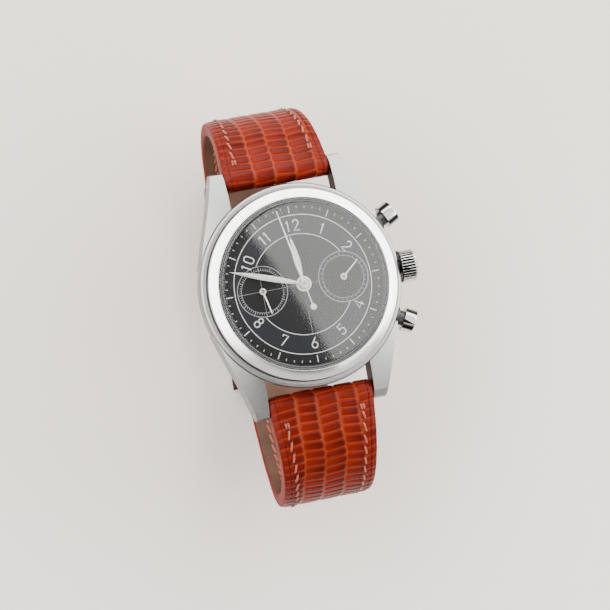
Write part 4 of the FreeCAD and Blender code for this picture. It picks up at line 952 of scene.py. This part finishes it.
def band(build, side, s0, s1, x_of, ends=(True, True), swell=None, step=0.11, holes=False):
    """Sweeps a strap section from s0 to s1. x_of(s) gives its left and right edges."""
    rows = max(2, int((s1 - s0) / step))
    nt, nb = 150, 16
    arc_n = 4
    all_v, groove_v, tone_and_shade_v, crease_v = [], [], [], []
    grid_x = []
    for i in range(rows + 1):
        s = s0 + (s1 - s0) * i / rows
        y, zz, h = line_at(side, s)
        up = h + pi / 2 * (1 if side == 12 else -1)
        half = half_width_at(side, s)
        t = thickness_at(s) / 2
        drop = 0.35 * exp(-(((s - 16) / 7) ** 2)) if side == 12 else 0.0
        if swell:
            t = swell(s, t)
        a, b = x_of(s, half)
        r = min(0.2, (b - a) * 0.2)
        x = np.linspace(a + r, b - r, nt)
        hh, gg, tt, cc = top_profile(side, np.full(nt, s), x, half)
        hh = hh - drop
        left_top, right_top = hh[0], hh[-1]
        xs, ns = list(x), list(t + hh)
        g, to, c = list(gg), list(tt), list(cc)
        for k in range(1, arc_n + 1):  # right shoulder
            q = pi / 2 * k / arc_n
            xs.append(b - r + r * sin(q))
            ns.append(t + right_top - r + r * cos(q))
        xs += [b, b - 0.12]
        ns += [-t + 0.15, -t]
        bottom = np.linspace(b - 0.5, a + 0.5, nb)
        xs += list(bottom)
        ns += [-t] * nb
        xs += [a + 0.12, a]
        ns += [-t, -t + 0.15]
        for k in range(arc_n, 0, -1):  # left shoulder
            q = pi / 2 * k / arc_n
            xs.append(a + r - r * sin(q))
            ns.append(t + left_top - r + r * cos(q))
        rest = len(xs) - nt
        g += [0.0] * rest
        to += [0.5] * rest
        c += [0.0] * rest
        cu, su = cos(up), sin(up)
        all_v += [(px, y + n * cu, zz + n * su) for px, n in zip(xs, ns)]
        groove_v += g
        tone_and_shade_v += to
        crease_v += c
        grid_x.append((s, xs))
    n = len(grid_x[0][1])
    base = len(build.v)
    build.v.extend(all_v)
    build.note(groove_v, tone_and_shade_v, crease_v)
    bottom_from = nt + arc_n + 1
    bottom_to = bottom_from + nb + 1
    for i in range(rows):
        s_mid = (grid_x[i][0] + grid_x[i + 1][0]) / 2
        near_hole = holes and (any(abs(s_mid - h) < 1.1 for h in HOLES) or SLOT[0] < s_mid < SLOT[1])
        for k in range(n):
            l = (k + 1) % n
            if near_hole and (k < nt - 1 or bottom_from <= k < bottom_to):
                if in_hole((grid_x[i][1][k] + grid_x[i][1][l]) / 2, s_mid):
                    continue
            f = (base + i * n + k, base + (i + 1) * n + k, base + (i + 1) * n + l, base + i * n + l)
            build.f.append(f if side == 12 else f[::-1])
            build.slots.append(0 if k < nt + 1 or k >= n - 2 else 2 if bottom_from <= k < bottom_to else 1)
    for on, row in zip(ends, (0, rows)):
        if on:
            f = tuple(base + row * n + k for k in range(n))
            build.f.append(f)
            build.slots.append(1)


def fold(build, side, centre, heading, a, b, radius, core, s_edge, direction):
    """The rounded end of a strap where it turns round a bar. direction is -1 at the case, 1 at the buckle."""
    nt, rows, arc_n = 150, 44, 4
    up = heading + pi / 2 * (1 if side == 12 else -1)
    hy, hz = cos(heading) * direction, sin(heading) * direction
    uy, uz = cos(up), sin(up)
    base = len(build.v)
    half = half_width_at(side, s_edge)
    for i in range(rows + 1):
        q = pi * i / rows
        s = s_edge + direction * radius * q
        r = 0.3
        x = np.linspace(a + r, b - r, nt)
        hh, gg, tt, cc = top_profile(side, np.full(nt, s), x, half)
        fade = 1 - smooth(np.array(q), 1.5, 2.2)
        hh = hh * fade - 0.05 * (1 - fade)
        bends = [pi / 2 * k / arc_n for k in range(1, arc_n + 1)]
        xs = [a, a] + [a + r - r * sin(c) for c in reversed(bends)] + list(x)
        xs += [b - r + r * sin(c) for c in bends] + [b, b]
        rs = [core, core + 0.3] + [radius + hh[0] - r + r * cos(c) for c in reversed(bends)]
        rs += list(radius + hh)
        rs += [radius + hh[-1] - r + r * cos(c) for c in bends] + [core + 0.3, core]
        cq, sq = cos(q), sin(q)
        for px, rr in zip(xs, rs):
            build.v.append((px, centre[0] + rr * (uy * cq + hy * sq), centre[1] + rr * (uz * cq + hz * sq)))
        none, half_tone = [0.0] * (arc_n + 2), [0.5] * (arc_n + 2)
        groove, crease = none + list(gg * fade) + none, none + list(cc * fade) + none
        build.note(groove, half_tone + list(tt) + half_tone, crease)
    n = nt + 2 * (arc_n + 2)
    for i in range(rows):
        for k in range(n - 1):
            f = (base + i * n + k, base + i * n + k + 1, base + (i + 1) * n + k + 1, base + (i + 1) * n + k)
            build.f.append(f)
            build.slots.append(1 if k < 3 or k > n - 5 else 0)


def full(s, half):
    return -half, half


def on_strap(side, x, s, lift):
    """A point lift above the strap's face at x across and s along."""
    y, zz, h = line_at(side, s)
    up = h + pi / 2 * (1 if side == 12 else -1)
    half = half_width_at(side, s)
    hh = top_profile(side, np.array([s]), np.array([x]), half)[0][0]
    drop = 0.35 * exp(-(((s - 16) / 7) ** 2)) if side == 12 else 0.0
    n = thickness_at(s) / 2 + max(hh, -0.2) - drop + lift
    return (x, y + n * cos(up), zz + n * sin(up))


def under_strap(side, x, s, drop):
    y, zz, h = line_at(side, s)
    up = h + pi / 2 * (1 if side == 12 else -1)
    n = -thickness_at(s) / 2 - drop
    return (x, y + n * cos(up), zz + n * sin(up))


LENGTH_12, LENGTH_6 = line_length(12), line_length(6)
EAR = 2.4

half_12 = Build()
y0, z0, h0 = line_at(12, 0)
fold(half_12, 12, (y0, z0), h0, -10.0, 10.0, thickness_at(0) / 2, 0.93, 0.0, -1)
band(half_12, 12, 0.0, LENGTH_12 - EAR, full, (False, True))


def swelling(s, t):
    share = min(1.0, max(0.0, (s - LENGTH_12 + EAR) / EAR))
    return t + (1.45 - t) * share * share * (3 - 2 * share)


y1, z1, h1 = line_at(12, LENGTH_12)
for lo_x, hi_x in ((-8.0, -1.38), (1.38, 8.0)):
    band(half_12, 12, LENGTH_12 - EAR, LENGTH_12, lambda s, half: (lo_x, hi_x), (True, False), swelling)
    fold(half_12, 12, (y1, z1), h1, lo_x, hi_x, 1.45, 0.8, LENGTH_12, 1)
o = half_12.make("strap_12_leather", ["leather", "edge", "lining"], "watch", angle=75)
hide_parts("strap_12")

half_6 = Build()
y0, z0, h0 = line_at(6, 0)
fold(half_6, 6, (y0, z0), h0, -10.0, 10.0, thickness_at(0) / 2, 0.93, 0.0, -1)
band(half_6, 6, 0.0, LENGTH_6, full, (False, True), holes=True)
o = half_6.make("strap_6_leather", ["leather", "edge", "lining"], "watch", angle=75)
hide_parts("strap_6")

# rims of the holes
rims = Build()


def rim(outline):
    """A painted rim round a hole, through the 6 o'clock half. outline holds (x, s, outward x, outward s)."""
    n = 4
    base = len(rims.v)
    for x, s, ox, os in outline:
        t = thickness_at(s) / 2
        for push, level in ((0.2, t + 0.02), (-0.03, t - 0.06), (-0.03, -t + 0.06), (0.18, -t - 0.03)):
            y, zz, h = line_at(6, s + os * push)
            up = h - pi / 2
            rims.v.append((x + ox * push, y + level * cos(up), zz + level * sin(up)))
    count = len(outline)
    for i in range(count):
        a, b = base + i * n, base + ((i + 1) % count) * n
        for k in range(n - 1):
            rims.f.append((a + k, a + k + 1, b + k + 1, b + k))
            rims.slots.append(0)


for h in HOLES:
    rim([(0.97 * cos(q), h + 0.97 * sin(q), cos(q), sin(q)) for q in np.linspace(0, 2 * pi, 33)[:-1]])
stadium = []
for first_turn, end in ((0.0, SLOT[1] - 1.12), (pi, SLOT[0] + 1.12)):
    for k in range(17):
        q = first_turn + pi * k / 16
        stadium.append((1.17 * cos(q), end + 1.17 * sin(q), cos(q), sin(q)))
rim(stadium)
rims.make("strap_hole_rims", ["hole"], "watch")

# stitching
seams = Build()
hole_shade_marks = Build()


def stitch(side, x, s, long, lean, radius=0.2):
    """One slanted stitch lying on the face, with its ends going into the leather."""
    pts = []
    for k in range(7):
        t = k / 6
        lift = 0.1 * sin(pi * t) - 0.06 - 0.12 * abs(2 * t - 1) ** 6
        pts.append(on_strap(side, x - lean / 2 + lean * t, s + long * t, lift + 0.08))
    tube_path(seams, pts, radius)
    # Dark little tubes across both ends stand for the stitch holes: painted shade.
    for t in (-0.06, 1.06):
        cx, cs = x - lean / 2 + lean * t, s + long * t
        out = 0.16 if lean > 0 else -0.16
        a = on_strap(side, cx - out, cs - 0.1, 0.02)
        b = on_strap(side, cx + out, cs + 0.1, 0.02)
        tube_path(hole_shade_marks, [a, b], 0.13, sides=6)


STITCH_IN = 2.35
for side, first, last in ((12, 3.4, LENGTH_12 - 4.5), (6, 3.35, LENGTH_6 - 9.0)):
    for edge in (-1, 1):
        s = first + (0.9 if (side, edge) in ((6, -1), (12, 1)) else 0.0)
        start = s
        x = edge * (half_width_at(side, s) - STITCH_IN)
        for off in (-0.24, 0.24):
            stitch(side, x + off, s - 1.15, 1.05, 0.1, 0.19)
        while s < last:
            x = edge * (half_width_at(side, s) - STITCH_IN)
            stitch(side, x, s + 0.25 + rng.uniform(-0.05, 0.05), 1.55, edge * 0.3 + rng.uniform(-0.06, 0.06))
            s += 2.05
        s = start
        while s < last:
            x = edge * (half_width_at(side, s) - STITCH_IN)
            near = under_strap(side, x - edge * 0.15, s + 0.3, -0.02)
            tube_path(seams, [near, under_strap(side, x + edge * 0.15, s + 1.75, -0.02)], 0.2)
            s += 2.05
seams.make("strap_stitching", ["thread"], "watch")
hole_shade_marks.make("strap_stitch_hole_shade", ["hole"], "watch")


# ---- keepers ----
def make_keeper(node, body):
    """A narrow band of the same hide, folded round both strap halves."""
    lo, hi = box_mm(node)
    thick, radius = 0.74, 1.7
    inset = thick / 2
    hx, zl, zh = hi[0] - inset, lo[2] + inset, hi[2] - inset
    path, normals, dist = [], [], []
    cx, top, low = hx - radius, zh - radius, zl + radius
    corners = [(cx, top, 0), (-cx, top, 90), (-cx, low, 180), (cx, low, 270)]
    raw = []
    for cx, cz, start in corners:
        for k in range(13):
            a = radians(start + 90 * k / 12)
            raw.append((cx + radius * cos(a), cz + radius * sin(a), a))
    for i, (px, pz, a) in enumerate(raw):
        qx, qz, b = raw[(i + 1) % len(raw)]
        if i == len(raw) - 1:
            b += 2 * pi
        length = hypot(qx - px, qz - pz)
        count = max(1, int(length / 0.16))
        for k in range(count):
            t = k / count
            path.append((px + (qx - px) * t, pz + (qz - pz) * t))
            normals.append(a + (b - a) * t)
    total = 0.0
    for i, p in enumerate(path):
        dist.append(total)
        total += math.dist(p, path[(i + 1) % len(path)])
    build = Build()
    wide = hi[1] - lo[1]
    nt = 44
    n = 0
    for (px, pz), a, s in zip(path, normals, dist):
        v = np.linspace(0.18, wide - 0.18, nt)
        edge = np.minimum(v, wide - v)
        rows = total / round(total / 1.66)
        f = (s / rows + 0.12 * np.sin(v * 1.3)) % 1.0 - 0.5
        col = wide * 0.58
        d = np.minimum(np.abs(v - col) - 0.14, (0.5 - np.abs(f)) * rows - 0.07)
        groove = 1 - smooth(d, -0.03, 0.12)
        crease = np.exp(-(((edge - 0.75) / 0.09) ** 2))
        height = 0.12 * smooth(d, -0.03, 0.4) - 0.1 * crease - 0.14
        height = height * np.where(pz < zl + 0.2, 0.4, 1.0)
        in_by, levels = (0.02, 0.0, 0.0, 0.1), [inset - 0.12, inset - 0.25, -inset + 0.1, -inset]
        ys = [lo[1] + q for q in v] + [hi[1] - q for q in in_by] + [lo[1] + q for q in reversed(in_by)]
        ns = list(inset + height) + levels + levels[::-1]
        n = len(ys)
        ca, sa = cos(a), sin(a)
        build.v.extend((px + k * ca, yy, pz + k * sa) for yy, k in zip(ys, ns))
        rest = n - nt
        # Random tone and painted shade along each scale row.
        tone_and_painted_shade = list(0.45 + 0.3 * f + 0.15 * np.sin(v + s)) + [0.5] * rest
        build.note(list(groove) + [0.0] * rest, tone_and_painted_shade, list(crease) + [0.0] * rest)
    rings = len(path)
    for i in range(rings):
        for k in range(n):
            l, m = (k + 1) % n, (i + 1) % rings
            build.f.append((i * n + k, i * n + l, m * n + l, m * n + k))
            build.slots.append(0 if k < nt else 2 if k == nt + 3 else 1)
    o = build.make(node + "_leather", ["leather", "edge", "lining"], body, angle=75)
    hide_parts(node)


make_keeper("fixed_keeper", "watch")
make_keeper("free_keeper", "loose_keeper")

# ---- floor, light and camera ----
floor_look = Look("floor_paper")
floor_cloud = floor_look.noise(3.0, 3.0)
floor_look.paint(floor_look.span(floor_cloud, 0.3, 0.7), srgb(232, 223, 214), srgb(236, 229, 222))
floor_look.roughness(floor_look.noise(40.0), 0.75, 0.9)
bpy.ops.mesh.primitive_plane_add(size=6, location=(0, 0, 0))
floor = bpy.context.object
floor.name = "floor"
floor.data.materials.append(floor_look.m)

world = bpy.data.worlds.new("studio")
bpy.context.scene.world = world
world.use_nodes = True
sky = Nodes(world.node_tree)

# A bright band of sky all round, dimmer behind 6 o'clock, with a dark ceiling over it.
way = sky.node("ShaderNodeTexCoord").outputs["Generated"]
x, y, height = sky.node("ShaderNodeSeparateXYZ", {0: way}).outputs
height = sky.plus(height, sky.plus(sky.times(x, 0.2), sky.times(sky.calc("ABSOLUTE", y), 0.15)))
ramp = sky.node("ShaderNodeValToRGB", {0: height})
SKY_BAND = [(0.0, 0.04), (0.36, 0.05), (0.48, 1.0), (0.82, 1.0), (0.88, 0.015), (1.0, 0.01)]
while len(ramp.color_ramp.elements) < len(SKY_BAND):
    ramp.color_ramp.elements.new(0.5)
for element, (at, level) in zip(ramp.color_ramp.elements, SKY_BAND):
    element.position = at
    element.color = (level, level, level, 1)
SKY_STRENGTH = 6.8
strength = sky.times(sky.times(ramp.outputs[0], sky.span(y, -0.5, -0.2, 0.15, 1.0)), SKY_STRENGTH)
background = sky.tree.nodes["Background"]
background.inputs["Color"].default_value = (1.0, 0.985, 0.965, 1)
sky.put(background.inputs["Strength"], strength)

key_light = bpy.data.lights.new("key", "AREA")
key_light.shape = "RECTANGLE"
key_light.size, key_light.size_y = 1.0, 1.3
key_light.energy = 10.5
key_light.color = (1, 0.985, 0.965)
key = bpy.data.objects.new("key", key_light)
bpy.context.scene.collection.objects.link(key)
key.location = (0.61, 0.02, 0.79)
key.rotation_euler = (0, 0, radians(23.6))

HEAD = Vector((0, 0, z(7.7) / 1000))
CAMERA_DISTANCE = 0.475
TILT_X, TILT_Y, ROLL = radians(-11.79), radians(-2.17), radians(-11.16)
toward = Vector((sin(TILT_X), sin(TILT_Y), 0))
toward.z = sqrt(1 - toward.x**2 - toward.y**2)
right = Vector((0, 1, 0)).cross(toward).normalized()
above = toward.cross(right)
screen_right = right * cos(ROLL) + above * sin(ROLL)
screen_up = above * cos(ROLL) - right * sin(ROLL)
camera_data = bpy.data.cameras.new("camera")
camera = bpy.data.objects.new("camera", camera_data)
bpy.context.scene.collection.objects.link(camera)
camera.location = HEAD + toward * CAMERA_DISTANCE
aim = HEAD + screen_right * 0.00034 - screen_up * 0.00384
back = (camera.location - aim).normalized()
side_axis = screen_up.cross(back).normalized()
up_axis = back.cross(side_axis)
camera.rotation_mode = "QUATERNION"
camera.rotation_quaternion = Matrix((side_axis, up_axis, back)).transposed().to_quaternion()
camera_data.sensor_width = 36
camera_data.lens = 152.5
camera_data.clip_start, camera_data.clip_end = 0.01, 20
bpy.context.scene.camera = camera
